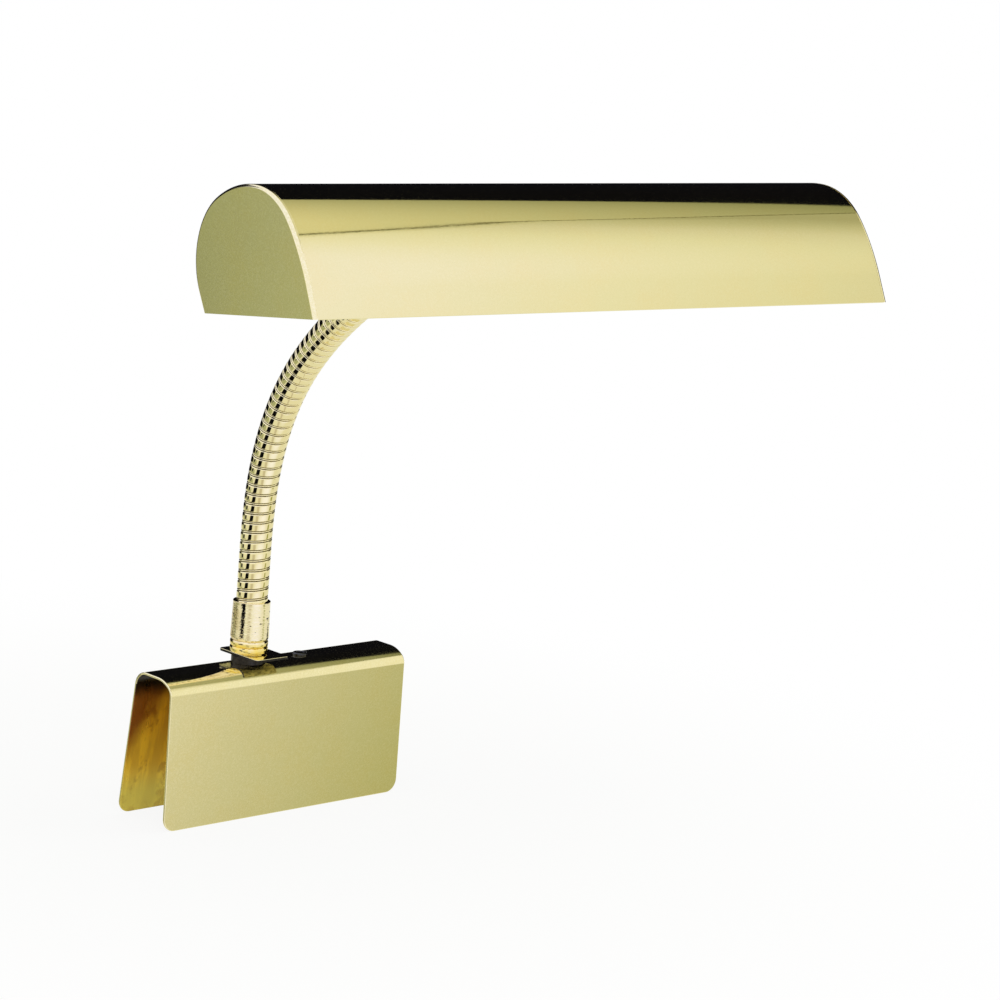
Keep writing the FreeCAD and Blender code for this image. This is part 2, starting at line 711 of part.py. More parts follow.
def bulb_filament(side):
    """Glass stem on the cap's floor, its rod, and the long filament that the rod's collars hold."""
    foot, out = socket_places(side)
    start = foot + out * (BULB_CAP_START + cap_floor(STEM_FOOT_R))
    stem = Part.makeCone(STEM_FOOT_R, STEM_R, STEM_LENGTH, start, out)
    reach = BULB_LENGTH - ROD_END_GAP - (start - foot).Length + BULB_CAP_START
    pieces = [Part.makeCylinder(ROD_R, reach, start, out)]
    pitch = (reach - STEM_LENGTH - SUPPORT_THICK) / SUPPORTS
    for k in range(1, SUPPORTS + 1):
        collar = start + out * (STEM_LENGTH + k * pitch)
        pieces.append(Part.makeCylinder(SUPPORT_R, SUPPORT_THICK, collar, out))
    wire_start = start + out * (STEM_LENGTH / 2) + UP * FILAMENT_OFFSET
    wire_length = STEM_LENGTH / 2 + SUPPORTS * pitch + SUPPORT_THICK / 2
    pieces.append(Part.makeCylinder(FILAMENT_R, wire_length, wire_start, out))
    return stem.multiFuse(pieces)


# ---------------------------------------------------------------- switch


def switch_body():
    y = BULB_AXIS_Y
    case = box(-SWITCH_WIDTH / 2, SWITCH_WIDTH / 2, y - SWITCH_DEPTH / 2, y + SWITCH_DEPTH / 2,
               SWITCH_FOOT_Z, SWITCH_FOOT_Z + SWITCH_HEIGHT)
    neck = Part.makeCylinder(SWITCH_NECK_R, SWITCH_NECK_LENGTH, V(0, y, SWITCH_FOOT_Z - SWITCH_NECK_LENGTH), UP)
    bore = Part.makeCylinder(KNOB_STEM_R + STEM_GAP, SWITCH_BORE, V(0, y, SWITCH_FOOT_Z - SWITCH_NECK_LENGTH), UP)
    return case.fuse(neck).cut(bore)


def switch_nut():
    foot = V(0, BULB_AXIS_Y, BRACKET_FLOOR_Z - SWITCH_NUT_THICK)
    return nut(foot, UP, EAST, 2 * SWITCH_NUT_R * math.sqrt(3) / 2, SWITCH_NUT_THICK, SWITCH_NECK_R + THREAD_GAP)


def switch_knob():
    """Fluted knob on its stem; it hangs below the switch's threaded neck."""
    top = SWITCH_FOOT_Z - SWITCH_NECK_LENGTH - KNOB_GAP
    axis = V(0, BULB_AXIS_Y, top)
    body = Part.makeCylinder(KNOB_R, KNOB_LENGTH, axis, -UP)
    body = body.makeFillet(1.0, [e for e in body.Edges if e.CenterOfMass.z < top - KNOB_LENGTH / 2])
    for k in range(KNOB_FLUTES):
        a = 2 * math.pi * k / KNOB_FLUTES
        at = axis + V(KNOB_R * math.cos(a), KNOB_R * math.sin(a), -KNOB_LENGTH)
        body = body.cut(Part.makeCylinder(KNOB_FLUTE_R, KNOB_LENGTH - 1, at, UP))
    stem = Part.makeCylinder(KNOB_STEM_R, KNOB_STEM_LENGTH, axis - UP, UP)
    return body.fuse(stem)


def inner_leads():
    """Leads from the nipple's mouth to the switch, and from the switch to each socket."""
    start = BRACKET_FACE_Y - BRACKET_SHEET - NUT_THICK - NIPPLE_PROUD + LEAD_IN_NIPPLE
    rear = BULB_AXIS_Y + SWITCH_DEPTH / 2
    leads = []
    for x in (-LEAD_SPACING / 2, LEAD_SPACING / 2):
        leads.append(Part.makeCylinder(LEAD_R, start - rear, V(x, rear, 0), NORTH))
    for _, side in SIDES:
        foot, out = socket_places(side)
        reach = EAR_X - SWITCH_WIDTH / 2
        at = V(side * SWITCH_WIDTH / 2, BULB_AXIS_Y, SIDE_LEAD_Z)
        leads.append(Part.makeCylinder(LEAD_R, reach, at, out))
    return Part.makeCompound(leads)


# ---------------------------------------------------------------- placing and export


def head_placement():
    """The shade's frame in the part's: rolled about the neck's end axis, tilted, then set on the neck."""
    end, angle = STATIONS[-1]
    origin = end + heading(angle) * (UPPER_SLEEVE_STOP + NECK_INSERT)
    roll = FreeCAD.Rotation(NORTH, SHADE_ROLL)
    tilt = FreeCAD.Rotation(EAST, -SHADE_TILT)
    return FreeCAD.Placement(origin, YAW.multiply(tilt).multiply(roll))


HEAD = head_placement()


def clip_parts():
    return {
        "clip_saddle": clip_saddle(),
        "foot_spacer": foot_spacer(),
        "foot_plate": foot_plate(),
        "foot_nipple": foot_nipple(),
        "foot_washer": foot_washer(),
        "foot_lock_nut": foot_nut(),
        "lower_sleeve": lower_sleeve(),
        "cord_bushing": cord_bushing(),
        "bushing_nut": bushing_nut(),
    }


def neck_parts():
    return {"neck_segment_%d" % k: neck_segment(k) for k in range(SEGMENTS)}


def head_parts():
    parts = {
        "shade_shell": shade_shell(),
        "shade_outer_washer": fix_washer(0.0),
        "shade_inner_washer": fix_washer(BRACKET_FACE_Y),
        "upper_sleeve": upper_sleeve(),
        "shade_nipple": shade_nipple(),
        "shade_lock_nut": shade_nut(),
        "socket_bracket": socket_bracket(),
        "socket_screws": socket_screws(),
        "switch_body": switch_body(),
        "switch_nut": switch_nut(),
        "switch_knob": switch_knob(),
        "inner_leads": inner_leads(),
    }
    for name, side in SIDES:
        parts["end_cap_" + name] = end_cap(side)
        parts["socket_body_" + name] = socket_body(side)
        parts["screw_shell_" + name] = screw_shell(side)
        parts["centre_contact_" + name] = centre_contact(side)
        parts["bulb_cap_" + name] = bulb_cap(side)
        parts["bulb_glass_" + name] = bulb_glass(side)
        parts["bulb_filament_" + name] = bulb_filament(side)
    placed = {}
    for name, shape in parts.items():
        moved = shape.copy()
        moved.Placement = HEAD.multiply(moved.Placement)
        placed[name] = moved
    return placed


os.makedirs("parts", exist_ok=True)
ALL_PARTS = {**clip_parts(), **neck_parts(), **head_parts()}
for node, solid in ALL_PARTS.items():
    solid.exportStep("parts/" + node + ".step")
    print(node, "solids", len(solid.Solids), "valid", solid.isValid(), "volume", round(solid.Volume, 1))
print("mouth depth", round(MOUTH_DEPTH, 2), "attach", ATTACH, "head", HEAD.Base, "tilt", SHADE_TILT)
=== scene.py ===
import math

import bmesh
import bpy
from mathutils import Matrix, Vector


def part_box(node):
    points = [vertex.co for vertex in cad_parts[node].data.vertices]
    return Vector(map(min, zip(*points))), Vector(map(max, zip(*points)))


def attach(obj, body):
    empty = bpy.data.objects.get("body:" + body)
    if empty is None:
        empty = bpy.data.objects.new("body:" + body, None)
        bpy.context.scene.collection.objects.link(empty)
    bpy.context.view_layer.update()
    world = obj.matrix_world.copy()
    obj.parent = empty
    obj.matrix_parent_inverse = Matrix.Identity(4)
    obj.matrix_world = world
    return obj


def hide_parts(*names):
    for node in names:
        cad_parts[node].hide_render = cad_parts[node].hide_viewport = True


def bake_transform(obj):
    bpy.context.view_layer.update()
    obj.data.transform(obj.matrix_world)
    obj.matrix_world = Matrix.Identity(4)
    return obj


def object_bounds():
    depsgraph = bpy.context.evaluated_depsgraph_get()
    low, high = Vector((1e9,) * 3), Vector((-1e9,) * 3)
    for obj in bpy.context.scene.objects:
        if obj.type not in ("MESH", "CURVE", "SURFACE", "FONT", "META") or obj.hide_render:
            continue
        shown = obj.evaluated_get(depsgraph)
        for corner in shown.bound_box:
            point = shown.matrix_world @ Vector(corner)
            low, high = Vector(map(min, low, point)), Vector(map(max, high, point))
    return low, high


# Looks of a clip-on piano lamp: polished brass clip, flexible neck and half-round shade.
# Metres, +Z up, X along the clip, -Y towards the player. Origin: underside of the clip's crown.

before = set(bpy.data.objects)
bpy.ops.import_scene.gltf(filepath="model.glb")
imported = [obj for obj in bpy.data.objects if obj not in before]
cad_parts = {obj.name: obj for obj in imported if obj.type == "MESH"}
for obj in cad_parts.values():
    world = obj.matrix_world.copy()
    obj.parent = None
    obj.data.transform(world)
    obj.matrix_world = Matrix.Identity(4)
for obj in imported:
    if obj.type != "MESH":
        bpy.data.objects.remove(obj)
cad_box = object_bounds()
scene = bpy.context.scene
MM = 0.001
HAIR = 1e-6                      # points closer than this are at one place
X, Y, Z = Vector((1, 0, 0)), Vector((0, 1, 0)), Vector((0, 0, 1))

# ---- camera and stage ----
CAMERA_PLACE = Vector((-1.19891, -1.39501, 0.45693))
CAMERA_LOOK = Vector((0.69007, 0.69916, -0.18707))
CAMERA_UP = Vector((0.07335, 0.19044, 0.97896))
LENS = 115.05
SENSOR = 36.0
FLOOR_RADIUS = 0.62
FLOOR_SHADOW_R = 0.15            # the shadow is full within it and fades to the rim
LIGHTS_AIM = Vector((0, -0.1, 0.1))

# ---- clip ----
CLIP_LENGTH = 179.0 * MM
CLIP_SHEET = 1.5 * MM
CROWN_FLAT = 11.0 * MM
CROWN_TURNS = ((18.3 * MM, 36.4), (6.6 * MM, 53.1))     # front: outer radius, degrees
REAR_TURN = (9.4 * MM, 83.2)
FRONT_LEG = 80.0 * MM
REAR_LEG = 80.6 * MM
LEG_CORNER = 8.0 * MM
SHEET_EASE = 0.55 * MM           # eased edge of the sheet
ARC_STEP = 1.5                   # degrees of arc for one facet

# ---- foot ----
NECK_X = -18.4 * MM
NECK_YAW = math.radians(-8.2)
SPACER_R = 10.0 * MM
SPACER_TOP = CLIP_SHEET + 4.4 * MM
PLATE_LENGTH = 24.4 * MM
PLATE_DEPTH = 35.2 * MM
PLATE_TOP = SPACER_TOP + 1.6 * MM
PLATE_CORNER = 2.0 * MM
PLATE_EASE = 0.25 * MM
PLATE_SHIFT = (2.9 * MM, -1.6 * MM)
NIPPLE_R = 4.2 * MM
NIPPLE_BORE_R = 3.0 * MM
NIPPLE_HOLE_R = NIPPLE_R + 0.2 * MM
THREAD_PITCH = 1.0 * MM
THREAD_DEPTH = 0.35 * MM
THREAD_STEPS = 32                # round one turn
SLEEVE_INNER_R = NIPPLE_R + 0.05 * MM
COLLAR_R = 9.6 * MM
COLLAR_HEIGHT = 0.5 * MM
BEAD_R = 11.3 * MM
BEAD_HEIGHT = 3.75 * MM
BEAD_VALLEY = 1.0 * MM           # depth between the beads
UPPER_BEAD_HEIGHT = 2.0 * MM
SLEEVE_FOOT_R = 11.4 * MM
SLEEVE_TOP_R = 10.9 * MM
SLEEVE_HEIGHT = 23.0 * MM
SLEEVE_FOOT = PLATE_TOP + COLLAR_HEIGHT + 2 * BEAD_HEIGHT
SLEEVE_LIP = 2.5 * MM
NECK_INSERT = 10.0 * MM
STAKES = ((-0.62, 18.0 * MM), (1.9, 18.5 * MM))        # angle round the sleeve, height on it
STAKE_SIZE = (1.7 * MM, 1.1 * MM)
STAKE_DEPTH = 0.55 * MM

# ---- bushing ----
BUSHING_X = 21.5 * MM
BUSHING_HEAD_R = 4.6 * MM
BUSHING_HEAD_HEIGHT = 1.6 * MM
BUSHING_SIDE_SHARE = 0.45        # upright part of the head
BUSHING_BORE_R = 2.4 * MM
BUSHING_LEAD_IN = 0.5 * MM
BUSHING_SHANK_R = 3.6 * MM
BUSHING_BELOW = 6.0 * MM
BUSHING_HOLE_R = BUSHING_SHANK_R + 0.15 * MM

# ---- neck ----
NECK_R = 9.3 * MM
SLEEVE_BORE_R = NECK_R + 0.1 * MM
SEGMENT_LENGTH = 6 * 5.49 * MM
SEGMENT_TURNS = [math.radians(a) for a in (0.0, 7.2, 11.5, 13.5, 12.0, 8.0, 5.5, 5.5, 7.8, 12.0)]
WRAP_PITCH = 5.8 * MM
WRAP_ROOT = 8.25 * MM            # bottom of the grooves
WRAP_STEPS = 72                  # round one turn
WIRE_R = 0.40 * MM
BAND_SHARE = 0.75                # of the pitch
BAND_CROWN = ((0.0, 0.4), (0.02, 0.2), (0.06, 0.07), (0.12, 0.02), (0.3, 0.005), (0.5, 0.0), (0.7, 0.005),
              (0.88, 0.02), (0.94, 0.07), (0.98, 0.2), (1.0, 0.4))       # share of the band, mm below its top
GROOVE_R = 8.65 * MM             # painted shade below this radius
WIRE_SUNK = 0.12 * MM            # under the bands
SKIN_IN_SLEEVE = 6.0 * MM        # skin past the neck's ends

# ---- shade ----
SHADE_LENGTH = 355.6 * MM
SHADE_SHEET = 0.8 * MM
FRONT_SLOPE = math.radians(19.3)
FRONT_SKIRT = 15.0 * MM
PROFILE_ARCS = ((120.0, 16.0), (43.6, 46.5), (68.1, 32.7), (35.2, 90.5))    # mm, degrees
SHADE_ROLL = math.radians(-0.8)
MOUTH_DEPTH = 100.49 * MM
CAP_DEPTH = 2.2 * MM
CAP_FACE = 0.9 * MM
CAP_EDGE = 1.7 * MM
CAP_LIP = 6.0 * MM
CAP_LIP_WALL = 0.8 * MM
CAP_LIP_INSET = 0.9 * MM
UPPER_SLEEVE_STOP = 14.5 * MM
FIX_WASHER_THICK = 1.5 * MM

# ---- sockets and bulbs ----
BULB_Y = 8.0 * MM
BULB_Z = 37.0 * MM
EAR_X = 19.0 * MM
BULB_CAP_START = 9.0 * MM
BULB_CAP_LENGTH = 24.0 * MM
BULB_CAP_R = 12.9 * MM
BULB_R = 16.0 * MM
BULB_LENGTH = 140.0 * MM
GLASS_WALL = 0.8 * MM
GLASS_IN_CAP = 4.0 * MM
GLASS_NECK = 1.0 * MM            # straight past the cap
GLASS_SHOULDER = 11.0 * MM


# ---------------------------------------------------------------- shader maths


class Value:
    """A shader socket that takes part in Python expressions."""

    def __init__(self, maker, socket):
        self.maker = maker
        self.socket = socket

    def maths(self, operation, *others):
        return self.maker.node("ShaderNodeMath", {"operation": operation}, self, *others)

    def __add__(self, other):
        return self.maths("ADD", other)

    def __sub__(self, other):
        return self.maths("SUBTRACT", other)

    def __rsub__(self, other):
        return self.maker.node("ShaderNodeMath", {"operation": "SUBTRACT"}, other, self)

    def __mul__(self, other):
        return self.maths("MULTIPLY", other)

    def __truediv__(self, other):
        return self.maths("DIVIDE", other)


class Maker:
    """Adds nodes to one tree."""

    def __init__(self, tree):
        self.tree = tree
        self.tree.nodes.clear()

    def node(self, kind, settings, *inputs, output=0, **named):
        made = self.tree.nodes.new(kind)
        for key, value in settings.items():
            if key == "stops":
                self.set_stops(made.color_ramp, value)
            else:
                setattr(made, key, value)
        for index, value in enumerate(inputs):
            self.feed(made.inputs[index], value)
        for key, value in named.items():
            self.feed(made.inputs[key.replace("_", " ")], value)
        return Value(self, made.outputs[output])

    def feed(self, socket, value):
        if isinstance(value, Value):
            self.tree.links.new(value.socket, socket)
        elif value is not None:
            socket.default_value = value

    def set_stops(self, ramp, stops):
        while len(ramp.elements) < len(stops):
            ramp.elements.new(0.5)
        for element, (place, colour) in zip(ramp.elements, stops):
            element.position = place
            element.color = colour

    def ramp(self, value, *stops):
        return self.node("ShaderNodeValToRGB", {"stops": stops}, value)

    def mix(self, share, a, b):
        made = self.tree.nodes.new("ShaderNodeMix")
        made.data_type = "RGBA"
        for place, value in ((0, share), (6, a), (7, b)):
            self.feed(made.inputs[place], value)
        return Value(self, made.outputs[2])

    def span(self, value, low, high, to_low=0.0, to_high=1.0):
        """Value mapped from low..high to to_low..to_high, smoothly and clamped."""
        return self.node("ShaderNodeMapRange", {"interpolation_type": "SMOOTHSTEP"},
                         value, low, high, to_low, to_high)

    def place(self, centre=(0, 0, 0), turn=(0, 0, 0), scale=(1, 1, 1)):
        """Object coordinates, moved to centre, turned and scaled."""
        here = self.node("ShaderNodeTexCoord", {}, output=3)
        return self.node("ShaderNodeMapping", {"vector_type": "TEXTURE"}, here, centre, turn, scale)

    def axes(self, where):
        """x, y and z of a place or a direction."""
        return [self.node("ShaderNodeSeparateXYZ", {}, where, output=k) for k in range(3)]

    def ray(self, kind):
        """1 for rays of that kind, else 0."""
        return self.node("ShaderNodeLightPath", {}, output=kind)

    def noise(self, where, scale, detail=3.0, rough=0.5):
        return self.node("ShaderNodeTexNoise", {}, Vector=where, Scale=scale, Detail=detail, Roughness=rough)

    def bump(self, height, strength, distance):
        return self.node("ShaderNodeBump", {}, Height=height, Strength=strength, Distance=distance)

    def surface(self, **named):
        self.end_with(self.node("ShaderNodeBsdfPrincipled", {}, **named))

    def end_with(self, shader, kind="Material"):
        """Sends the shader to the tree's output."""
        end = self.tree.nodes.new("ShaderNodeOutput" + kind)
        self.tree.links.new(shader.socket, end.inputs[0])


def material(name):
    made = bpy.data.materials.new(name)
    made.use_nodes = True
    return made, Maker(made.node_tree)


def colour(r, g, b):
    return (r, g, b, 1.0)


def scaled(tint, *shares):
    """The tint with each channel times its share, up to 1; one share serves for all three."""
    if len(shares) == 1:
        shares *= 3
    return colour(*(min(1.0, c * share) for c, share in zip(tint, shares)))


def brass(name, tint, shine, wear=0.5, grain=0.0, turn=(0, 0, 0), speckle=0.03):
    """Polished, lacquered brass: a faint mottle and speckle, handling haze, hairlines and orange peel."""
    made, m = material(name)
    here = m.place(turn=turn)
    mottle = m.noise(here, 34.0, 4.0, 0.6)
    cloud = m.noise(here, 9.0, 2.0, 0.5)
    dark = scaled(tint, 1 - 0.10 * wear)
    warm = scaled(tint, 1.02, 0.985, 1 - 0.14 * wear)
    tone = m.mix(m.span(mottle, 0.35, 0.7), colour(*tint), warm)
    tone = m.mix(m.span(cloud, 0.52, 0.78) * 0.5, tone, dark)
    fleck = m.noise(here, 900.0, 3.0, 0.75)
    low = scaled(tint, 1 - speckle, 1 - speckle, 1 - 2.4 * speckle)
    high = scaled(tint, 1 + speckle, 1 + speckle, 1 + 2.4 * speckle)
    tone = m.mix(m.span(fleck, 0.38, 0.62) * 0.5, tone, m.mix(m.span(fleck, 0.42, 0.58), low, high))
    lines = m.noise(m.place(turn=turn, scale=(0.35, 0.004, 0.004)), 9.0, 3.0, 0.7)
    haze = m.span(cloud, 0.4, 0.75, 0.0, 0.05 * wear)
    rough = m.span(lines, 0.45, 0.75, 0.0, 0.04 + grain) + haze + shine
    peel = m.noise(here, 420.0, 2.0, 0.5) * 0.6 + lines * 0.4
    m.surface(Base_Color=tone, Metallic=1.0, Roughness=rough, Normal=m.bump(peel, 0.02 + grain, 0.0002),
              Coat_Weight=0.25, Coat_Roughness=0.03)
    return made


def turned_brass(name, tint, brown_tone):
    """Sleeves: turning marks round them and nicks, painted shade on the side to the camera's left, and the
    beads of the foot more orange.
    """
    made, m = material(name)
    here = m.place()
    marks = m.noise(m.place(scale=(1.0, 1.0, 0.45)), 520.0, 2.0, 0.5)
    cloud = m.noise(here, 150.0, 4.0, 0.65)
    nick = m.noise(m.place(scale=(1.6, 1.6, 0.45)), 300.0, 2.0, 0.5)
    x, y, z = m.axes(here)
    # painted shade: the side to the camera's left turns darker and browner
    side = m.span(y * 0.69 - (x - NECK_X) * 0.72, 2 * MM, 10 * MM) * m.span(cloud, 0.35, 0.6, 0.3, 1.0)
    staked = 1 - m.span((z - SLEEVE_FOOT - 13 * MM).maths("ABSOLUTE"), 2 * MM, 4 * MM)
    foot = 1 - m.span(z, SLEEVE_FOOT - 3 * MM, SLEEVE_FOOT + 0.5 * MM)
    tone = m.mix(side * 0.8, colour(*tint), scaled(brown_tone, 0.62))
    tone = m.mix(foot * m.span(cloud, 0.3, 0.55, 0.5, 1.0), tone, scaled(brown_tone, 1.02, 1.08, 0.6))
    tone = m.mix(m.span(nick + staked * 0.06, 0.68, 0.72), tone, colour(0.05, 0.035, 0.02))
    m.surface(Base_Color=tone, Metallic=1.0, Roughness=m.span(cloud, 0.3, 0.7, 0.03, 0.10),
              Normal=m.bump(marks + nick * 0.5, 0.35, 0.0004), Coat_Weight=0.2, Coat_Roughness=0.03)
    return made


def darkened(name, tint, rough):
    """Dark, dull brass with random patches: painted shade in the neck's grooves and on the spacer under the
    plate, a painted dark reflection on the plate's sides, and the plate's darker, duller underside.
    """
    made, m = material(name)
    patch = m.noise(m.place(), 300.0, 3.0, 0.6)
    tone = m.mix(m.span(patch, 0.35, 0.7), colour(*tint), scaled(tint, 0.45))
    m.surface(Base_Color=tone, Metallic=0.8, Roughness=m.span(patch, 0.3, 0.7, rough, rough + 0.15),
              Normal=m.bump(patch, 0.1, 0.0002))
    return made


def tarnished(name, tint):
    """Unpolished inner side of the clip: amber, blotched and streaked, with painted light making it greyer
    low down and painted shade making it browner upwards and near black under the crown.
    """
    made, m = material(name)
    streak = m.noise(m.place(scale=(0.10, 0.10, 1.0)), 7.0, 5.0, 0.7)
    patch = m.noise(m.place(scale=(1.0, 1.0, 1.3)), 60.0, 4.0, 0.6)
    x, _, z = m.axes(m.place())
    blotch_and_shade_brown = scaled(tint, 0.30, 0.16, 0.25)
    pale = scaled(tint, 0.66, 0.86, 1.9)
    blotch = m.span(patch, 0.56, 0.66)
    tone = m.mix(m.span(streak, 0.44, 0.60) * 0.5, colour(*tint), scaled(tint, 0.5, 0.4, 0.4))
    tone = m.mix(blotch * 0.5, tone, blotch_and_shade_brown)
    # painted light: greyer, less saturated colour low down, towards the open bottom
    low = 1 - m.span(z, -78 * MM, -55 * MM)
    tone = m.mix(low * 0.8, tone, pale)
    tone = m.mix(low * blotch * 0.3, tone, blotch_and_shade_brown)
    # painted shade: browner upwards, reaching lower near the ends, and near black just under the crown
    from_end = CLIP_LENGTH / 2 - x.maths("ABSOLUTE")
    tone = m.mix(m.span(z - from_end * 1.6 + patch * (25 * MM), -52 * MM, -20 * MM), tone, blotch_and_shade_brown)
    tone = m.mix(m.span(z + patch * (10 * MM), -14 * MM, -2 * MM), tone, colour(0.01, 0.006, 0.004))
    m.surface(Base_Color=tone, Metallic=m.span(patch, 0.3, 0.7, 0.35, 0.6),
              Roughness=m.span(streak, 0.3, 0.7, 0.22, 0.4),
              Normal=m.bump(streak * 0.7 + patch * 0.3, 0.25, 0.0006))
    return made


def zinc(name):
    made, m = material(name)
    here = m.place()
    spangle = m.noise(here, 160.0, 3.0, 0.6)
    tone = m.mix(m.span(spangle, 0.3, 0.7), colour(0.54, 0.54, 0.53), colour(0.68, 0.68, 0.66))
    lines = m.noise(m.place(scale=(0.02, 0.3, 0.02)), 30.0, 3.0, 0.6)
    m.surface(Base_Color=tone, Metallic=1.0, Roughness=m.span(lines, 0.3, 0.7, 0.22, 0.4),
              Normal=m.bump(spangle + lines, 0.05, 0.0002))
    return made


def plastic(name, tone, other, rough, grain):
    made, m = material(name)
    here = m.place()
    cloud = m.noise(here, 90.0, 4.0, 0.6)
    fine = m.noise(here, 1500.0, 2.0, 0.6)
    m.surface(Base_Color=m.mix(m.span(cloud, 0.35, 0.7), colour(*tone), colour(*other)),
              Roughness=m.span(fine, 0.3, 0.7, rough, rough + 0.12), Normal=m.bump(fine, grain, 0.0003))
    return made


def bright_sheet(name):
    """Rolled aluminium of the bulb caps."""
    made, m = material(name)
    here = m.place()
    brown_tone = m.noise(here, 120.0, 3.0, 0.6)
    tone = m.mix(m.span(brown_tone, 0.5, 0.75), colour(0.78, 0.77, 0.73), colour(0.62, 0.58, 0.5))
    lines = m.noise(m.place(scale=(0.004, 0.2, 0.2)), 20.0, 2.0, 0.6)
    m.surface(Base_Color=tone, Metallic=1.0, Roughness=m.span(lines, 0.3, 0.7, 0.2, 0.34),
              Normal=m.bump(lines, 0.06, 0.0002))
    return made


def clear_glass(name):
    made, m = material(name)
    here = m.place()
    film = m.noise(here, 40.0, 3.0, 0.6)
    ripple = m.noise(here, 60.0, 1.0, 0.5)
    m.surface(Base_Color=m.mix(film, colour(0.97, 0.98, 0.97), colour(0.94, 0.95, 0.93)),
              Roughness=m.span(film, 0.45, 0.8, 0.0, 0.04), Normal=m.bump(ripple, 0.02, 0.0005),
              Transmission_Weight=1.0, IOR=1.5)
    return made


def wire(name):
    made, m = material(name)
    grain = m.noise(m.place(), 900.0, 2.0, 0.6)
    m.surface(Base_Color=m.mix(grain, colour(0.30, 0.29, 0.28), colour(0.44, 0.43, 0.42)), Metallic=1.0,
              Roughness=m.span(grain, 0.3, 0.7, 0.3, 0.45), Normal=m.bump(grain, 0.1, 0.0001))
    return made


BRASS_TINT = (0.87, 0.79, 0.44)
FINISH = {
    "shade": brass("shade_brass", BRASS_TINT, 0.035, wear=0.35),
    "cap": brass("cap_brass", BRASS_TINT, 0.10, wear=0.8, grain=0.02, turn=(0, 0, math.radians(90)),
                 speckle=0.13),
    "clip": brass("clip_brass", BRASS_TINT, 0.06, wear=0.6, grain=0.012, speckle=0.09),
    # painted light and shade on the clip's inner side
    "inside": tarnished("clip_inside_brass", (1.0, 0.66, 0.05)),
    "plate": brass("plate_brass", BRASS_TINT, 0.03, wear=0.4),
    "sleeve": turned_brass("sleeve_brass", (0.92, 0.82, 0.52), (0.90, 0.66, 0.26)),
    "neck": brass("neck_brass", (0.91, 0.82, 0.47), 0.02, wear=0.4),
    # painted shade in the neck's grooves
    "groove": darkened("neck_groove_brass", (0.06, 0.045, 0.015), 0.3),
    # painted dark reflection on the plate's sides, and painted shade on the spacer under the plate
    "painted_dark": darkened("brass_painted_dark", (0.035, 0.030, 0.024), 0.25),
    "dull": darkened("plate_underside_brass", (0.62, 0.58, 0.30), 0.45),
    "zinc": zinc("zinc_plate"),
    "black": plastic("bushing_black", (0.008, 0.008, 0.008), (0.014, 0.013, 0.012), 0.10, 0.02),
    "phenolic": plastic("phenolic_brown", (0.030, 0.021, 0.016), (0.050, 0.034, 0.026), 0.3, 0.08),
    "leads": plastic("lead_sleeve", (0.72, 0.68, 0.58), (0.80, 0.77, 0.68), 0.5, 0.1),
    "cap_metal": bright_sheet("bulb_cap_metal"),
    "glass": clear_glass("bulb_clear_glass"),
    "filament": wire("filament_wire"),
}


# ---------------------------------------------------------------- mesh tools


def stand(origin, up, side):
    """Matrix that takes Z to up and X to side, at origin."""
    up = up.normalized()
    side = (side - up * side.dot(up)).normalized()
    turn = Matrix((side, up.cross(side), up)).transposed()
    return Matrix.Translation(origin) @ turn.to_4x4()


def soften(bm, width, segments=2, angle=35):
    """Bevels every edge that turns by more than angle degrees."""
    limit = math.radians(angle)
    edges = [e for e in bm.edges if len(e.link_faces) == 2 and e.calc_face_angle(0) > limit]
    if edges:
        bmesh.ops.bevel(bm, geom=edges, offset=width, segments=segments, profile=0.5, affect="EDGES",
                        material=-1, clamp_overlap=True)


def tidy(bm, width=HAIR):
    bmesh.ops.remove_doubles(bm, verts=bm.verts, dist=width)
    bmesh.ops.recalc_face_normals(bm, faces=bm.faces)


def kept(grown, kind, found="geom"):
    """The vertices, edges or faces that an operator has made."""
    return [part for part in grown[found] if isinstance(part, kind)]


def mesh_of(name, bm):
    mesh = bpy.data.meshes.new(name)
    bm.to_mesh(mesh)
    bm.free()
    return mesh


def add_object(name, data):
    made = bpy.data.objects.new(name, data)
    scene.collection.objects.link(made)
    return made


def even_shading(made):
    """Lets wide faces keep their own normals beside the narrow faces of eased edges."""
    made.modifiers.new("even_shading", "WEIGHTED_NORMAL").keep_sharp = True


def piece(name, bm, finish, body, replaces=(), place=None, angle=32, others=()):
    """Makes bm an object that rides on body, with its place in its mesh and its main finish first."""
    if place is not None:
        bmesh.ops.transform(bm, matrix=place, verts=bm.verts)
    for face in bm.faces:
        face.smooth = True
    made = add_object(name, mesh_of(name, bm))
    for each in (finish, *others):
        made.data.materials.append(FINISH[each])
    made.data.set_sharp_from_angle(angle=math.radians(angle))
    even_shading(made)
    if body:
        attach(made, body)
    if replaces:
        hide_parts(*replaces)
    return made


def chain(bm, points):
    """Edges that join points in turn."""
    verts = [bm.verts.new(p) for p in points]
    return verts, [bm.edges.new(pair) for pair in zip(verts, verts[1:])]


def turned(points, steps=96):
    """Lathe work about Z from a closed outline of points (radius, height)."""
    bm = bmesh.new()
    verts, edges = chain(bm, [(r, 0, h) for r, h in points + points[:1]])
    bmesh.ops.spin(bm, geom=verts + edges, cent=(0, 0, 0), axis=(0, 0, 1), angle=math.tau, steps=steps,
                   use_merge=True)
    tidy(bm)
    return bm


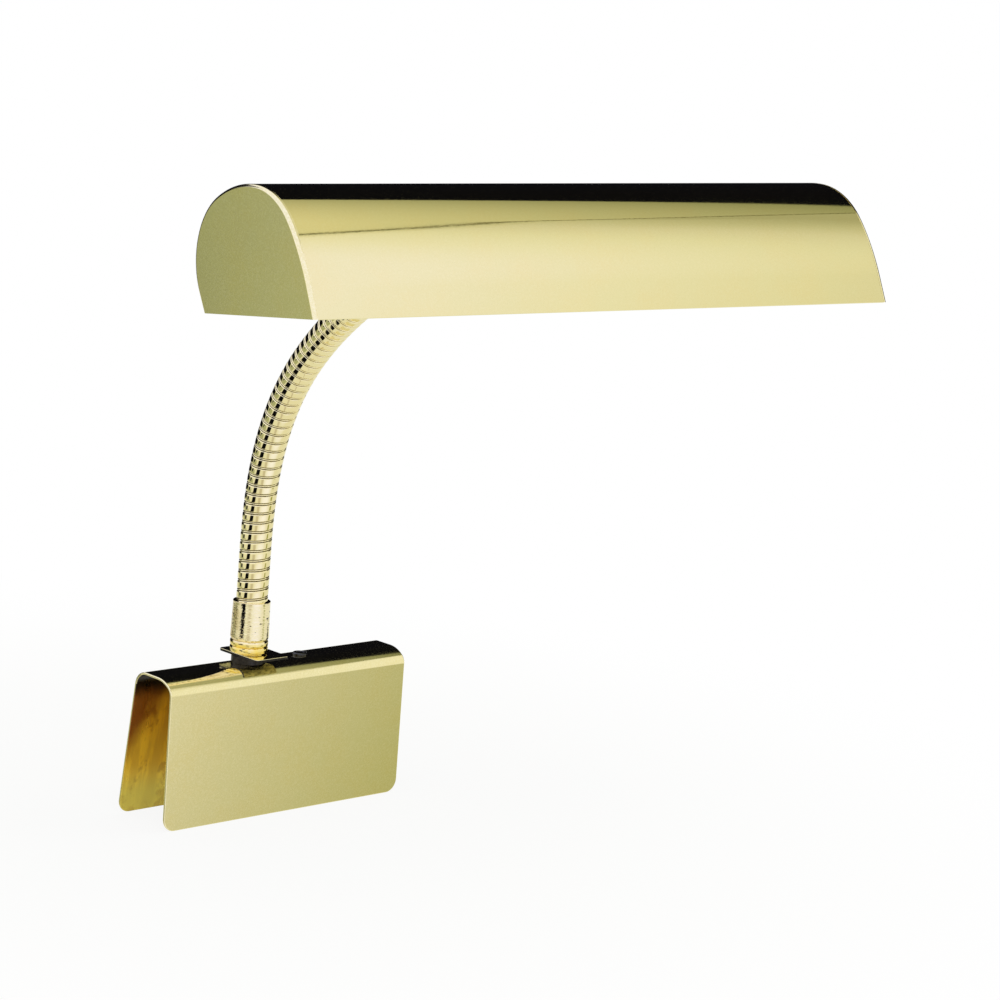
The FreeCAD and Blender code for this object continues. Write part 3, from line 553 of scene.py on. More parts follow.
def follow(bm, start, direction, pieces):
    """Grows edges in the YZ plane: lines (None, length), and arcs (radius, degrees to the rear)."""
    tip = bm.verts.new(start)
    angle = direction
    for radius, amount in pieces:
        if radius is None:
            grown = bmesh.ops.extrude_vert_indiv(bm, verts=[tip])
            tip = grown["verts"][0]
            tip.co += Vector((0, math.sin(angle), math.cos(angle))) * amount
            continue
        centre = tip.co + Vector((0, math.cos(angle), -math.sin(angle))) * radius
        steps = max(3, round(amount / ARC_STEP))
        grown = bmesh.ops.spin(bm, geom=[tip], cent=centre, axis=(-1, 0, 0), angle=math.radians(amount),
                               steps=steps, use_duplicate=False)
        tip = kept(grown, bmesh.types.BMVert, "geom_last")[0]
        angle += math.radians(amount)
    return tip


def sweep(bm, length):
    """Draws a chain of edges out along X into a sheet that faces outwards."""
    swept = bmesh.ops.extrude_edge_only(bm, edges=bm.edges)
    bmesh.ops.translate(bm, vec=X * length, verts=kept(swept, bmesh.types.BMVert))
    tidy(bm)
    top = max(bm.faces, key=lambda f: f.calc_center_median().z)
    if top.normal.z < 0:
        bmesh.ops.reverse_faces(bm, faces=bm.faces)


def cut_hole(target, centre, direction, radius):
    """Bores target with a short cylinder through centre."""
    bm = bmesh.new()
    bmesh.ops.create_cone(bm, cap_ends=True, segments=48, radius1=radius, radius2=radius, depth=12 * MM)
    bmesh.ops.transform(bm, matrix=stand(centre, direction, X), verts=bm.verts)
    drill = add_object("drill", mesh_of("drill", bm))
    target.modifiers.clear()
    cut = target.modifiers.new("hole", "BOOLEAN")
    cut.operation = "DIFFERENCE"
    cut.object = drill
    cut.solver = "EXACT"
    graph = bpy.context.evaluated_depsgraph_get()
    cored = bpy.data.meshes.new_from_object(target.evaluated_get(graph))
    target.modifiers.clear()
    target.data = cored
    even_shading(target)
    bpy.data.objects.remove(drill)


# ---------------------------------------------------------------- places on the neck

ACROSS = Vector((math.cos(NECK_YAW), math.sin(NECK_YAW), 0))
BACK = Vector((-math.sin(NECK_YAW), math.cos(NECK_YAW), 0))
NECK_START = Vector((NECK_X, 0, SLEEVE_FOOT + SLEEVE_HEIGHT - SLEEVE_LIP))
NECK_LENGTH = SEGMENT_LENGTH * len(SEGMENT_TURNS)


def heading(angle):
    return Z * math.cos(angle) - BACK * math.sin(angle)


def inward(angle):
    return -BACK * math.cos(angle) - Z * math.sin(angle)


def arc_end(point, angle, length, turn):
    if turn == 0:
        return point + heading(angle) * length
    radius = length / turn
    return point + inward(angle) * radius - inward(angle + turn) * radius


def neck_at(along):
    """Point of the neck's axis and its angle from upright, at a distance along it."""
    point, angle, left = NECK_START.copy(), 0.0, along
    for turn in SEGMENT_TURNS:
        if left <= SEGMENT_LENGTH:
            share = max(left, 0.0)
            there = arc_end(point, angle, share, turn * share / SEGMENT_LENGTH)
            angle += turn * share / SEGMENT_LENGTH
            return there + heading(angle) * (left - share), angle
        point = arc_end(point, angle, SEGMENT_LENGTH, turn)
        angle += turn
        left -= SEGMENT_LENGTH
    return point + heading(angle) * left, angle


def head_matrix():
    """The shade's frame: origin where the neck's axis meets the rear wall, +Y out of the wall, Z up."""
    origin, angle = neck_at(NECK_LENGTH + UPPER_SLEEVE_STOP + NECK_INSERT)
    tilt = math.pi / 2 - angle
    turn = Matrix.Rotation(NECK_YAW, 4, "Z") @ Matrix.Rotation(-tilt, 4, "X")
    return Matrix.Translation(origin) @ turn @ Matrix.Rotation(SHADE_ROLL, 4, "Y")


HEAD = head_matrix()


# ---------------------------------------------------------------- shade


def wall_point():
    """Where the rear wall stands upright, from the front edge."""
    here, angle = Vector((0, math.sin(FRONT_SLOPE), math.cos(FRONT_SLOPE))) * FRONT_SKIRT, FRONT_SLOPE
    for radius, turn in PROFILE_ARCS:
        radius *= MM
        centre = here + Vector((0, math.cos(angle), -math.sin(angle))) * radius
        angle += math.radians(turn)
        here = centre - Vector((0, math.cos(angle), -math.sin(angle))) * radius
    return centre + Y * radius


WALL = wall_point()
IN_HEAD = HEAD @ Matrix.Translation(-WALL)


def section(bm, x):
    """The shade's section in the plane x, from the front edge up, over and down to the mouth at z = 0."""
    path = [(None, FRONT_SKIRT)] + [(radius * MM, turn) for radius, turn in PROFILE_ARCS]
    tip = follow(bm, X * x, FRONT_SLOPE, path)
    angle = FRONT_SLOPE + math.radians(sum(turn for _, turn in PROFILE_ARCS))
    grown = bmesh.ops.extrude_vert_indiv(bm, verts=[tip])
    last = grown["verts"][0]
    last.co += Vector((0, math.sin(angle), math.cos(angle))) * (-tip.co.z / math.cos(angle))
    return last


def shade_shell():
    bm = bmesh.new()
    half = SHADE_LENGTH / 2 - CAP_DEPTH
    section(bm, -half)
    sweep(bm, 2 * half)
    bmesh.ops.solidify(bm, geom=bm.faces, thickness=SHADE_SHEET)
    soften(bm, 0.2 * MM, 2)
    return piece("shade_skin", bm, "shade", "head", ("shade_shell",), IN_HEAD)


def end_cap(side, name):
    """Pan with a rolled edge, and a lip that slides inside the shell."""
    bm = bmesh.new()
    outer_x = side * SHADE_LENGTH / 2
    seat_x = side * (SHADE_LENGTH / 2 - CAP_DEPTH)
    last = section(bm, seat_x)
    first = min(bm.verts, key=lambda v: (v.co - X * seat_x).length)
    bm.edges.new((last, first))
    tidy(bm)
    seat = bmesh.ops.contextual_create(bm, geom=bm.edges)["faces"][0]
    grown = bmesh.ops.extrude_face_region(bm, geom=[seat], use_keep_orig=True)
    bmesh.ops.translate(bm, vec=X * side * CAP_DEPTH, verts=kept(grown, bmesh.types.BMVert))
    bmesh.ops.recalc_face_normals(bm, faces=bm.faces)
    lip_from = [f for f in bm.faces if all(abs(v.co.x - seat_x) < HAIR for v in f.verts)]
    bmesh.ops.inset_region(bm, faces=lip_from, thickness=CAP_LIP_INSET, use_even_offset=True)
    push(bm, lip_from, -X * side * CAP_LIP)
    bmesh.ops.inset_region(bm, faces=lip_from, thickness=CAP_LIP_WALL, use_even_offset=True)
    push(bm, lip_from, X * side * (CAP_LIP + CAP_DEPTH - CAP_FACE))
    rim = [e for e in bm.edges if all(abs(v.co.x - outer_x) < HAIR for v in e.verts)
           and any(v.co.z > HAIR for v in e.verts)]
    bmesh.ops.bevel(bm, geom=rim, offset=CAP_EDGE, segments=8, profile=0.5, affect="EDGES", material=-1,
                    clamp_overlap=True)
    tidy(bm)
    return piece("shade_end_" + name, bm, "cap", "head", ("end_cap_" + name,), IN_HEAD, angle=50)


def push(bm, faces, step):
    """Draws the faces out by step; they stay the moved ones."""
    grown = bmesh.ops.extrude_face_region(bm, geom=faces)
    bmesh.ops.translate(bm, vec=step, verts=kept(grown, bmesh.types.BMVert))
    old = list(faces)
    faces[:] = kept(grown, bmesh.types.BMFace)
    bmesh.ops.delete(bm, geom=[f for f in old if f.is_valid and f not in faces], context="FACES_ONLY")


# ---------------------------------------------------------------- clip and foot


def clip_saddle():
    """One sheet bent over the desk's edge; its inner side is duller and amber, with painted light and shade.
    """
    bm = bmesh.new()
    path = [(None, FRONT_LEG), *reversed(CROWN_TURNS), (None, CROWN_FLAT), REAR_TURN, (None, REAR_LEG)]
    lean = math.radians(90 - sum(a for _, a in CROWN_TURNS))
    follow(bm, clip_front_foot(lean) - X * CLIP_LENGTH / 2, lean, path)
    sweep(bm, CLIP_LENGTH)
    corners = [v for v in bm.verts if len(v.link_edges) == 2]
    bmesh.ops.bevel(bm, geom=corners, offset=LEG_CORNER, segments=10, profile=0.5, affect="VERTICES",
                    material=-1)
    bmesh.ops.solidify(bm, geom=bm.faces, thickness=CLIP_SHEET)
    for face in bm.faces:
        face.material_index = int(is_inner(face))
    soften(bm, SHEET_EASE, 3, 60)
    made = piece("clip", bm, "clip", "root", ("clip_saddle",), others=("inside",))
    cut_hole(made, Vector((NECK_X, 0, CLIP_SHEET / 2)), Z, NIPPLE_HOLE_R)
    cut_hole(made, Vector((BUSHING_X, 0, CLIP_SHEET / 2)), Z, BUSHING_HOLE_R)


def clip_front_foot(lean):
    """Outer foot of the front leg, worked back from the crown."""
    here, angle = Vector((0, -CROWN_FLAT / 2, CLIP_SHEET)), 0.0
    for radius, turn in CROWN_TURNS:
        centre = here - Vector((0, -math.sin(angle), math.cos(angle))) * radius
        angle += math.radians(turn)
        here = centre + Vector((0, -math.sin(angle), math.cos(angle))) * radius
    return here - Vector((0, math.sin(lean), math.cos(lean))) * FRONT_LEG


def is_inner(face):
    """True on the sheet's inner side."""
    middle = face.calc_center_median()
    if abs(face.normal.x) > 0.5:
        return False
    inside = Vector((middle.x, 0.0, min(middle.z, -20 * MM)))
    return face.normal.dot(inside - middle) > 0 and (abs(face.normal.z) < 0.999 or face.normal.z < 0)


def foot_spacer():
    height = SPACER_TOP - CLIP_SHEET
    bm = turned([(NIPPLE_HOLE_R, 0), (SPACER_R, 0), (SPACER_R, height), (NIPPLE_HOLE_R, height)])
    soften(bm, 0.3 * MM)
    place = Matrix.Translation((NECK_X, 0, CLIP_SHEET))
    # painted shade: the spacer under the plate is near-black brass
    piece("foot_spacer_ring", bm, "painted_dark", "root", ("foot_spacer",), place)


def foot_plate():
    """Polished on top, with a painted dark reflection at its sides, and darker and duller below."""
    bm = bmesh.new()
    bmesh.ops.create_grid(bm, x_segments=1, y_segments=1, size=0.5)
    bmesh.ops.scale(bm, vec=(PLATE_LENGTH, PLATE_DEPTH, 1), verts=bm.verts)
    bmesh.ops.bevel(bm, geom=bm.verts, offset=PLATE_CORNER, segments=8, profile=0.5, affect="VERTICES",
                    material=-1)
    grown = bmesh.ops.extrude_face_region(bm, geom=list(bm.faces), use_keep_orig=True)
    bmesh.ops.translate(bm, vec=Z * (PLATE_TOP - SPACER_TOP), verts=kept(grown, bmesh.types.BMVert))
    bmesh.ops.recalc_face_normals(bm, faces=bm.faces)
    for face in bm.faces:
        # side faces get the painted dark reflection; faces below get the darker, duller brass
        face.material_index = 0 if face.normal.z > 0.5 else 2 if face.normal.z < -0.5 else 1
    rim = [e for e in bm.edges if all(v.co.z > HAIR for v in e.verts) and not e.is_boundary
           and e.calc_face_angle(0) > 1]
    bmesh.ops.bevel(bm, geom=rim, offset=PLATE_EASE, segments=2, profile=0.5, affect="EDGES", material=0)
    place = Matrix.Translation((NECK_X + PLATE_SHIFT[0], PLATE_SHIFT[1], SPACER_TOP))
    made = piece("foot_plate_polished", bm, "plate", "root", ("foot_plate",), place,
                 others=("painted_dark", "dull"))
    cut_hole(made, Vector((NECK_X, 0, SPACER_TOP)), Z, NIPPLE_HOLE_R)


def bead(foot, valley_r, height):
    """Outline of a round bead between two valleys."""
    found = []
    for k in range(9):
        a = math.pi * k / 8
        r = valley_r + (BEAD_R - valley_r) * math.sin(a) ** 0.6
        found.append((r, foot + height * (1 - math.cos(a)) / 2))
    return found


def dimple(bm, centre, direction):
    """Presses a small oval into the wall at centre."""
    across = direction.cross(Z)
    for v in bm.verts:
        off = v.co - centre
        reach = math.hypot(off.dot(across) / STAKE_SIZE[0], off.z / STAKE_SIZE[1])
        if reach < 1 and off.dot(direction) > -6 * MM:
            v.co -= direction * STAKE_DEPTH * (1 - reach ** 2) ** 2


def swell(away, height, width):
    """Smooth rise of a radius: height at its middle, and gone a few widths away."""
    return height * math.exp(-(away / width) ** 2)


def sleeve(outline, top, steps):
    """Turns a sleeve from its outer outline and a stepped bore, where the neck stops."""
    stop = top - SLEEVE_LIP - NECK_INSERT
    bore = [(SLEEVE_BORE_R, top), (SLEEVE_BORE_R, stop), (SLEEVE_INNER_R, stop)]
    return turned([(SLEEVE_INNER_R, 0)] + outline + bore, steps)


def lower_sleeve():
    """Foot of the neck: two beads and a tapered sleeve, staked on the neck."""
    beads = COLLAR_HEIGHT + 2 * BEAD_HEIGHT
    outline = [(COLLAR_R, 0), (COLLAR_R, COLLAR_HEIGHT)]
    for k in range(2):
        outline += bead(COLLAR_HEIGHT + k * BEAD_HEIGHT, BEAD_R - BEAD_VALLEY, BEAD_HEIGHT)
    for k in range(61):
        h = k / 60
        r = SLEEVE_FOOT_R + (SLEEVE_TOP_R - SLEEVE_FOOT_R) * h
        r += swell((1 - h) * SLEEVE_HEIGHT, 0.12 * MM, 0.8 * MM)
        r -= swell(h * SLEEVE_HEIGHT, 0.6 * MM, 0.8 * MM)
        outline.append((r, beads + 0.1 * MM + h * (SLEEVE_HEIGHT - 0.1 * MM)))
    bm = sleeve(outline, beads + SLEEVE_HEIGHT, 192)
    for angle, height in STAKES:
        way = Vector((math.cos(angle), math.sin(angle), 0))
        dimple(bm, way * SLEEVE_TOP_R + Z * height, way)
    soften(bm, 0.2 * MM, 2, 60)
    place = stand(Vector((NECK_X, 0, PLATE_TOP)), Z, ACROSS)
    piece("neck_sleeve", bm, "sleeve", "root", ("lower_sleeve",), place)


def upper_sleeve():
    """The shade's end of the neck: one low bead and a tapered sleeve."""
    top = UPPER_SLEEVE_STOP - FIX_WASHER_THICK + NECK_INSERT + SLEEVE_LIP
    foot = UPPER_BEAD_HEIGHT + 0.1 * MM
    outline = bead(0.0, COLLAR_R, UPPER_BEAD_HEIGHT)
    for k in range(31):
        h = k / 30
        r = SLEEVE_FOOT_R + (SLEEVE_TOP_R - SLEEVE_FOOT_R) * h - swell(h * top, 0.5 * MM, 1.2 * MM)
        outline.append((r, foot + h * (top - foot)))
    bm = sleeve(outline, top, 128)
    soften(bm, 0.2 * MM, 2, 60)
    place = HEAD @ stand(Y * FIX_WASHER_THICK, Y, X)
    piece("neck_sleeve_upper", bm, "sleeve", "head", ("upper_sleeve",), place)


def wind(bm, points, turns, steps, pitch):
    """Spins a chain of points about Z into a screw; steps are for one turn."""
    verts, edges = chain(bm, points)
    bmesh.ops.spin(bm, geom=verts + edges, cent=(0, 0, 0), axis=(0, 0, 1), angle=math.tau * turns,
                   steps=steps * turns, dvec=(0, 0, pitch / steps))


def threaded(length):
    """Hollow rod with a screw thread, from z = 0 to length."""
    bm = bmesh.new()
    root = NIPPLE_R - THREAD_DEPTH
    tooth = [(root, 0, -THREAD_PITCH), (NIPPLE_R, 0, -THREAD_PITCH / 2), (root, 0, 0)]
    wind(bm, tooth, math.ceil(length / THREAD_PITCH) + 2, THREAD_STEPS, THREAD_PITCH)
    tidy(bm, 2 * HAIR)
    trim(bm, 0.0, length)
    hollow(bm, NIPPLE_BORE_R, 0.0, length)
    return bm


def trim(bm, low, high):
    """Keeps what lies between two heights."""
    for height, side in ((low, -1), (high, 1)):
        bmesh.ops.bisect_plane(bm, geom=bm.verts[:] + bm.edges[:] + bm.faces[:], dist=1e-7,
                               plane_co=(0, 0, height), plane_no=(0, 0, side), clear_outer=True)


def rim_at(bm, height):
    """Open edges at a height."""
    return [e for e in bm.edges if len(e.link_faces) == 1
            and all(abs(v.co.z - height) < HAIR for v in e.verts)]


def hollow(bm, bore, low, high):
    """Adds the bore's wall and closes both ends."""
    rings = []
    for height in (low, high):
        outer = rim_at(bm, height)
        made = bmesh.ops.create_circle(bm, segments=48, radius=bore)
        bmesh.ops.translate(bm, vec=(0, 0, height), verts=made["verts"])
        inner = list({e for v in made["verts"] for e in v.link_edges})
        bmesh.ops.bridge_loops(bm, edges=outer + inner)
        rings.append(inner)
    bmesh.ops.bridge_loops(bm, edges=rings[0] + rings[1])
    bmesh.ops.recalc_face_normals(bm, faces=bm.faces)


def cord_bushing():
    """Black grommet in the crown, with a rounded head."""
    bore, lead_in = BUSHING_BORE_R, BUSHING_BORE_R + BUSHING_LEAD_IN
    side = BUSHING_HEAD_HEIGHT * BUSHING_SIDE_SHARE
    outline = [(bore, -BUSHING_BELOW), (BUSHING_SHANK_R, -BUSHING_BELOW), (BUSHING_SHANK_R, CLIP_SHEET),
               (BUSHING_HEAD_R, CLIP_SHEET), (BUSHING_HEAD_R, CLIP_SHEET + side)]
    for degrees in range(10, 91, 10):
        a = math.radians(degrees)
        outline.append((lead_in + (BUSHING_HEAD_R - lead_in) * math.cos(a),
                        CLIP_SHEET + side + (BUSHING_HEAD_HEIGHT - side) * math.sin(a)))
    outline.append((bore, CLIP_SHEET + BUSHING_HEAD_HEIGHT - BUSHING_LEAD_IN))
    bm = turned(outline, 64)
    soften(bm, 0.15 * MM, 2, 50)
    place = Matrix.Translation((BUSHING_X, 0, 0))
    piece("cord_grommet", bm, "black", "root", ("cord_bushing",), place)


# ---------------------------------------------------------------- neck


def wrap_outline():
    """One pitch of the neck's skin: a thin round wire, and a wide, slightly crowned band. Radius, height."""
    groove = WRAP_PITCH * (1 - BAND_SHARE)
    band = WRAP_PITCH - groove
    wire_r = NECK_R - WIRE_SUNK - WIRE_R
    points = [(WRAP_ROOT, 0.0)]
    for k in range(7):
        a = math.pi * k / 6
        points.append((wire_r + WIRE_R * math.sin(a), groove / 2 - WIRE_R * math.cos(a)))
    points.append((WRAP_ROOT, groove - 0.05 * MM))
    for share, drop in BAND_CROWN:
        points.append((NECK_R - drop * MM, groove + share * (band - 0.05 * MM)))
    points.append((WRAP_ROOT, WRAP_PITCH))
    return points


def wrap(low, high):
    """Straight stretch of the neck between two heights, closed at its ends."""
    bm = bmesh.new()
    first = math.floor(low / WRAP_PITCH) - 1
    turns = math.ceil(high / WRAP_PITCH) + 1 - first
    base = first * WRAP_PITCH
    wind(bm, [(r, 0, base + h) for r, h in wrap_outline()], turns, WRAP_STEPS, WRAP_PITCH)
    bmesh.ops.remove_doubles(bm, verts=bm.verts, dist=4 * HAIR)
    trim(bm, low, high)
    for height in (low, high):
        bmesh.ops.contextual_create(bm, geom=rim_at(bm, height))
    bmesh.ops.recalc_face_normals(bm, faces=bm.faces)
    for face in bm.faces:
        # faces in the grooves get the painted groove shade
        face.material_index = int(face.calc_center_median().xy.length < GROOVE_R)
    return bm


def bend_along_neck(bm):
    for v in bm.verts:
        point, angle = neck_at(v.co.z)
        v.co = point + ACROSS * v.co.x - inward(angle) * v.co.y


def neck_pieces():
    """Eleven stretches, each from the middle of a rigid segment to the middle of the next."""
    bodies = ["root"] + ["neck_%d" % k for k in range(1, 9)] + ["head"]
    ends = [-SKIN_IN_SLEEVE, *((k + 0.5) * SEGMENT_LENGTH for k in range(10)), NECK_LENGTH + SKIN_IN_SLEEVE]
    for k in range(len(ends) - 1):
        bm = wrap(ends[k], ends[k + 1])
        bend_along_neck(bm)
        below, above = bodies[max(k - 1, 0)], bodies[min(k, 9)]
        crosses = 0 < k < len(ends) - 2
        made = piece("neck_wrap_%02d" % k, bm, "neck", None if crosses else above, angle=40,
                     others=("groove",))
        if crosses:
            neck_at(ends[k])[0]
            neck_at(ends[k + 1])[0]
            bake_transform(made)
        if k <= 9:
            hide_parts("neck_segment_%d" % k)


# ---------------------------------------------------------------- fixing, sockets, bulbs and switch

MOUTH_Z = -WALL.z
BULB_AXIS = Vector((0, MOUTH_DEPTH / 2 - WALL.y + BULB_Y, MOUTH_Z + BULB_Z))


def foot_nipple():
    low, high = (corner.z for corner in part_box("foot_nipple"))
    place = Matrix.Translation((NECK_X, 0, low))
    piece("foot_nipple_threaded", threaded(high - low), "zinc", "root", ("foot_nipple",), place)


def dome(radius, foot):
    """Outline of a half-ball over foot, which ends on the axis."""
    found = [(radius * math.cos(math.pi / 2 * k / 16), foot + radius * math.sin(math.pi / 2 * k / 16))
             for k in range(16)]
    return found + [(0.0, foot + radius)]


def bulb(side, name):
    """Glass tube, from inside its cap to its tip."""
    foot = BULB_AXIS + X * side * (EAR_X + BULB_CAP_START)
    neck = BULB_CAP_R - 0.5 * MM
    neck_top = BULB_CAP_LENGTH + GLASS_NECK
    outline = [(neck, BULB_CAP_LENGTH - GLASS_IN_CAP), (neck, neck_top)]
    for k in range(1, 13):
        share = k / 12
        ease = share * share * (3 - 2 * share)
        outline.append((neck + (BULB_R - neck) * ease, neck_top + share * GLASS_SHOULDER))
    outer = outline + dome(BULB_R, BULB_LENGTH - BULB_R)
    inner = [(r - GLASS_WALL, h) for r, h in outline] + dome(BULB_R - GLASS_WALL, BULB_LENGTH - BULB_R)
    bm = turned(outer + inner[::-1], 64)
    place = HEAD @ stand(foot, X * side, Z)
    piece("bulb_tube_" + name, bm, "glass", "head", ("bulb_glass_" + name,), place, angle=60)


def dress(nodes, finish):
    """Gives CAD nodes a finish."""
    for name in nodes:
        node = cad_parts[name]
        node.data.materials.clear()
        node.data.materials.append(FINISH[finish])


def socket_parts():
    for side, name in ((-1, "left"), (1, "right")):
        bulb(side, name)
        dress(["socket_body_" + name], "phenolic")
        dress(["screw_shell_" + name, "centre_contact_" + name], "plate")
        dress(["bulb_cap_" + name], "cap_metal")
        dress(["bulb_filament_" + name], "filament")
    dress(["socket_bracket", "socket_screws", "shade_nipple", "shade_lock_nut", "shade_inner_washer",
           "switch_nut", "foot_washer", "foot_lock_nut"], "zinc")
    dress(["shade_outer_washer"], "plate")
    dress(["switch_body", "switch_knob", "bushing_nut"], "black")
    dress(["inner_leads"], "leads")


# ---------------------------------------------------------------- camera, stage and light


def make_camera():
    data = bpy.data.cameras.new("camera")
    data.lens = LENS
    data.sensor_width = SENSOR
    data.clip_end = 50
    camera = add_object("camera", data)
    side = CAMERA_LOOK.cross(CAMERA_UP).normalized()
    up = side.cross(CAMERA_LOOK).normalized()
    turn = Matrix((side, up, -CAMERA_LOOK.normalized())).transposed()
    camera.matrix_world = Matrix.Translation(CAMERA_PLACE) @ turn.to_4x4()
    scene.camera = camera


def make_world():
    """White to the camera; polished metal sees a pale tent with black flags round it."""
    world = bpy.data.worlds.new("studio")
    scene.world = world
    world.use_nodes = True
    m = Maker(world.node_tree)
    x, y, z = m.axes(m.node("ShaderNodeTexCoord", {}, output=0))
    flat = (x * x + y * y).maths("SQRT")
    ux, uy = x / flat, y / flat

    def sector(azimuth, half_width, soft):
        """1 within half_width degrees of azimuth, measured from +Y towards +X."""
        a = math.radians(azimuth)
        near = ux * math.sin(a) + uy * math.cos(a)
        edge = math.cos(math.radians(half_width))
        return m.span(near, edge - soft, edge + soft)

    def height(low, high):
        """1 between two heights; low and high are soft edges, each from one z to another."""
        return m.span(z, *low) * (1 - m.span(z, *high))

    def slope(along, low, high):
        """0 to 1 across the tent, by direction."""
        place = x * along[0] + y * along[1] + z * along[2]
        return m.node("ShaderNodeMapRange", {}, place, low, high, 0.0, 1.0)

    # walls
    pale, cream, white = colour(0.84, 0.84, 0.74), colour(1.04, 1.06, 1.34), colour(0.97, 0.97, 0.92)
    tent = m.mix(slope((-0.06, -0.87, -0.45), 0.80, 0.97), pale, cream)
    tent = m.mix(sector(229, 9, 0.012), tent, colour(0.62, 0.58, 0.50))
    tent = m.mix(m.span(z, -0.19, -0.10), tent, white)
    # table before the clip's front
    table = m.mix(slope((-4.99, 0, 2.81), -4.20, -3.50),
                  colour(0.33, 0.35, 0.07), colour(0.96, 0.94, 0.94))
    tent = m.mix(sector(138, 11, 0.012) * height((-0.42, -0.36), (-0.20, -0.17)), tent, table)
    # ceiling: a dim half over the shade's back and a graded half over its front, with a dark seam between
    ceiling = m.mix(slope((-0.92, -0.06, 0.38), -0.32, -0.12),
                    colour(0.32, 0.33, 0.185), colour(0.76, 0.74, 0.51))
    tent = m.mix(m.span(z, 0.40, 0.52), tent, ceiling)
    front = m.ramp(slope((0.21, -0.635, 0.743), 0.85, 0.96),
                   (0.0, colour(0.44, 0.44, 0.29)), (0.2, colour(0.60, 0.60, 0.44)),
                   (0.35, colour(0.74, 0.73, 0.60)), (0.55, colour(0.85, 0.85, 0.72)),
                   (0.77, colour(0.93, 0.93, 0.88)), (1.0, colour(1.0, 1.0, 1.13)))
    seam_place = y - x * 1.11 + z * 0.256 + 0.670
    tent = m.mix((1 - m.span(seam_place, -0.03, 0.004)) * m.span(z, 0.40, 0.50), tent, front)
    seam = m.span(seam_place, -0.010, -0.003) * (1 - m.span(seam_place, 0.0, 0.007)) * m.span(z, 0.6, 0.7)
    tent = m.mix(seam, tent, colour(0.13, 0.13, 0.06))
    # bright cards for the bend over the clip's front and for the neck
    brow = m.span(x * 0.990 - y * 0.143, 0.672, 0.69) * height((0.30, 0.36), (0.72, 0.76))
    tent = m.mix(brow, tent, white)
    tent = m.mix((1 - m.span(x, 0.22, 0.36)) * m.span(z, -0.06, 0.04), tent, cream)
    # olive cards for the end cap
    olive = sector(341, 9, 0.01) * height((-0.30, -0.25), (0.0, 0.05))
    olive = olive.maths("MAXIMUM", sector(320, 17, 0.02) * height((-0.46, -0.40), (-0.25, -0.23)))
    tent = m.mix(olive, tent, colour(0.42, 0.455, 0.285))
    # black flags: behind the clip and at the neck's edges, and a slanting one for the neck's dark dashes
    black = colour(0.004, 0.004, 0.006)
    behind = sector(62, 37, 0.02) * height((-0.07, -0.03), (0.740, 0.747))
    behind = behind.maths("MAXIMUM", sector(3, 24, 0.01) * height((-0.20, -0.17), (0.40, 0.46)))
    behind = behind.maths("MAXIMUM", sector(322, 9, 0.01) * height((-0.245, -0.225), (-0.17, -0.15)))
    tent = m.mix(behind, tent, black)
    tent = m.mix(sector(91, 22, 0.02) * height((-0.07, -0.03), (0.40, 0.48)), tent, black)
    stripe = (x * 0.688 - y * 0.707 - z * 0.165 + 0.600).maths("ABSOLUTE")
    slant = (1 - m.span(stripe, 0.14, 0.18)) * sector(286, 30, 0.02) * (1 - m.span(z, 0.05, 0.15))
    tent = m.mix(slant, tent, black)

    seen = m.node("ShaderNodeBackground", {}, colour(1, 1, 1), 1.0)
    shone = m.node("ShaderNodeBackground", {}, tent, 1.0)
    soft = m.node("ShaderNodeBackground", {}, colour(1, 1, 0.99), 0.75)
    lit = m.node("ShaderNodeMixShader", {}, m.ray("Is Glossy Ray"), soft, shone)
    sight = m.ray("Is Camera Ray").maths("MAXIMUM", m.ray("Is Transmission Ray"))
    m.end_with(m.node("ShaderNodeMixShader", {}, sight, lit, seen), "World")


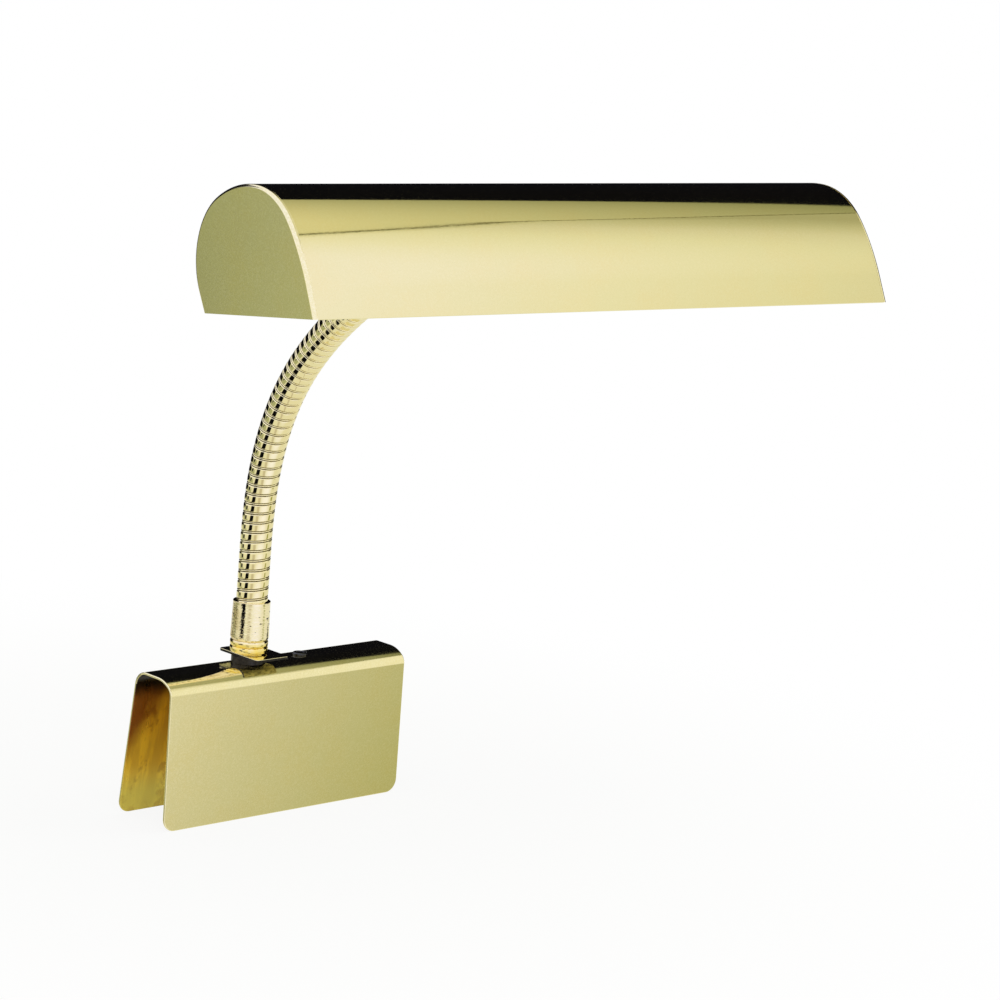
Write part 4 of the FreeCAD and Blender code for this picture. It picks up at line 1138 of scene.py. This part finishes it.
def make_floor():
    """Pale disc that takes the shadow, fades into white at its rim and isn't seen by polished metal."""
    made, m = material("pale_floor")
    fleck = m.noise(m.place(), 500.0, 2.0, 0.5)
    tone = m.mix(fleck, colour(0.64, 0.65, 0.58), colour(0.68, 0.69, 0.62))
    matt = m.node("ShaderNodeBsdfDiffuse", {}, tone)
    white = m.node("ShaderNodeEmission", {}, colour(1, 1, 1), 1.0)
    away = m.node("ShaderNodeVectorMath", {"operation": "LENGTH"}, m.place(), output=1)
    share = m.ray("Is Camera Ray").maths("MAXIMUM", m.ray("Is Transmission Ray"))
    share = share * m.span(away, FLOOR_SHADOW_R, FLOOR_RADIUS * 0.97, 0.9, 1.0)
    both = m.node("ShaderNodeMixShader", {}, share, matt, white)
    clear = m.node("ShaderNodeBsdfTransparent", {})
    m.end_with(m.node("ShaderNodeMixShader", {}, m.ray("Is Glossy Ray"), both, clear))
    bm = bmesh.new()
    bmesh.ops.create_circle(bm, cap_ends=True, segments=96, radius=FLOOR_RADIUS)
    bmesh.ops.translate(bm, vec=(0, 0, cad_box[0].z), verts=bm.verts)
    floor = add_object("floor", mesh_of("floor", bm))
    floor.data.materials.append(made)


def lamp(name, place, size, power):
    data = bpy.data.lights.new(name, "AREA")
    data.shape = "SQUARE"
    data.size = size
    data.energy = power
    made = add_object(name, data)
    turn = (LIGHTS_AIM - Vector(place)).to_track_quat("-Z", "Y").to_matrix().to_4x4()
    made.matrix_world = Matrix.Translation(place) @ turn
    made.visible_glossy = False
    made.visible_camera = False


scene.view_settings.view_transform = "Standard"
make_camera()
make_world()
make_floor()
lamp("key", (-0.6, -1.1, 1.4), 0.9, 14)
lamp("fill", (1.2, -0.7, 0.8), 1.0, 6)

shade = shade_shell()
cut_hole(shade, HEAD.translation, HEAD.to_3x3() @ Y, NIPPLE_HOLE_R)
for side, name in ((-1, "left"), (1, "right")):
    end_cap(side, name)
clip_saddle()
foot_spacer()
foot_plate()
lower_sleeve()
upper_sleeve()
cord_bushing()
foot_nipple()
neck_pieces()
socket_parts()
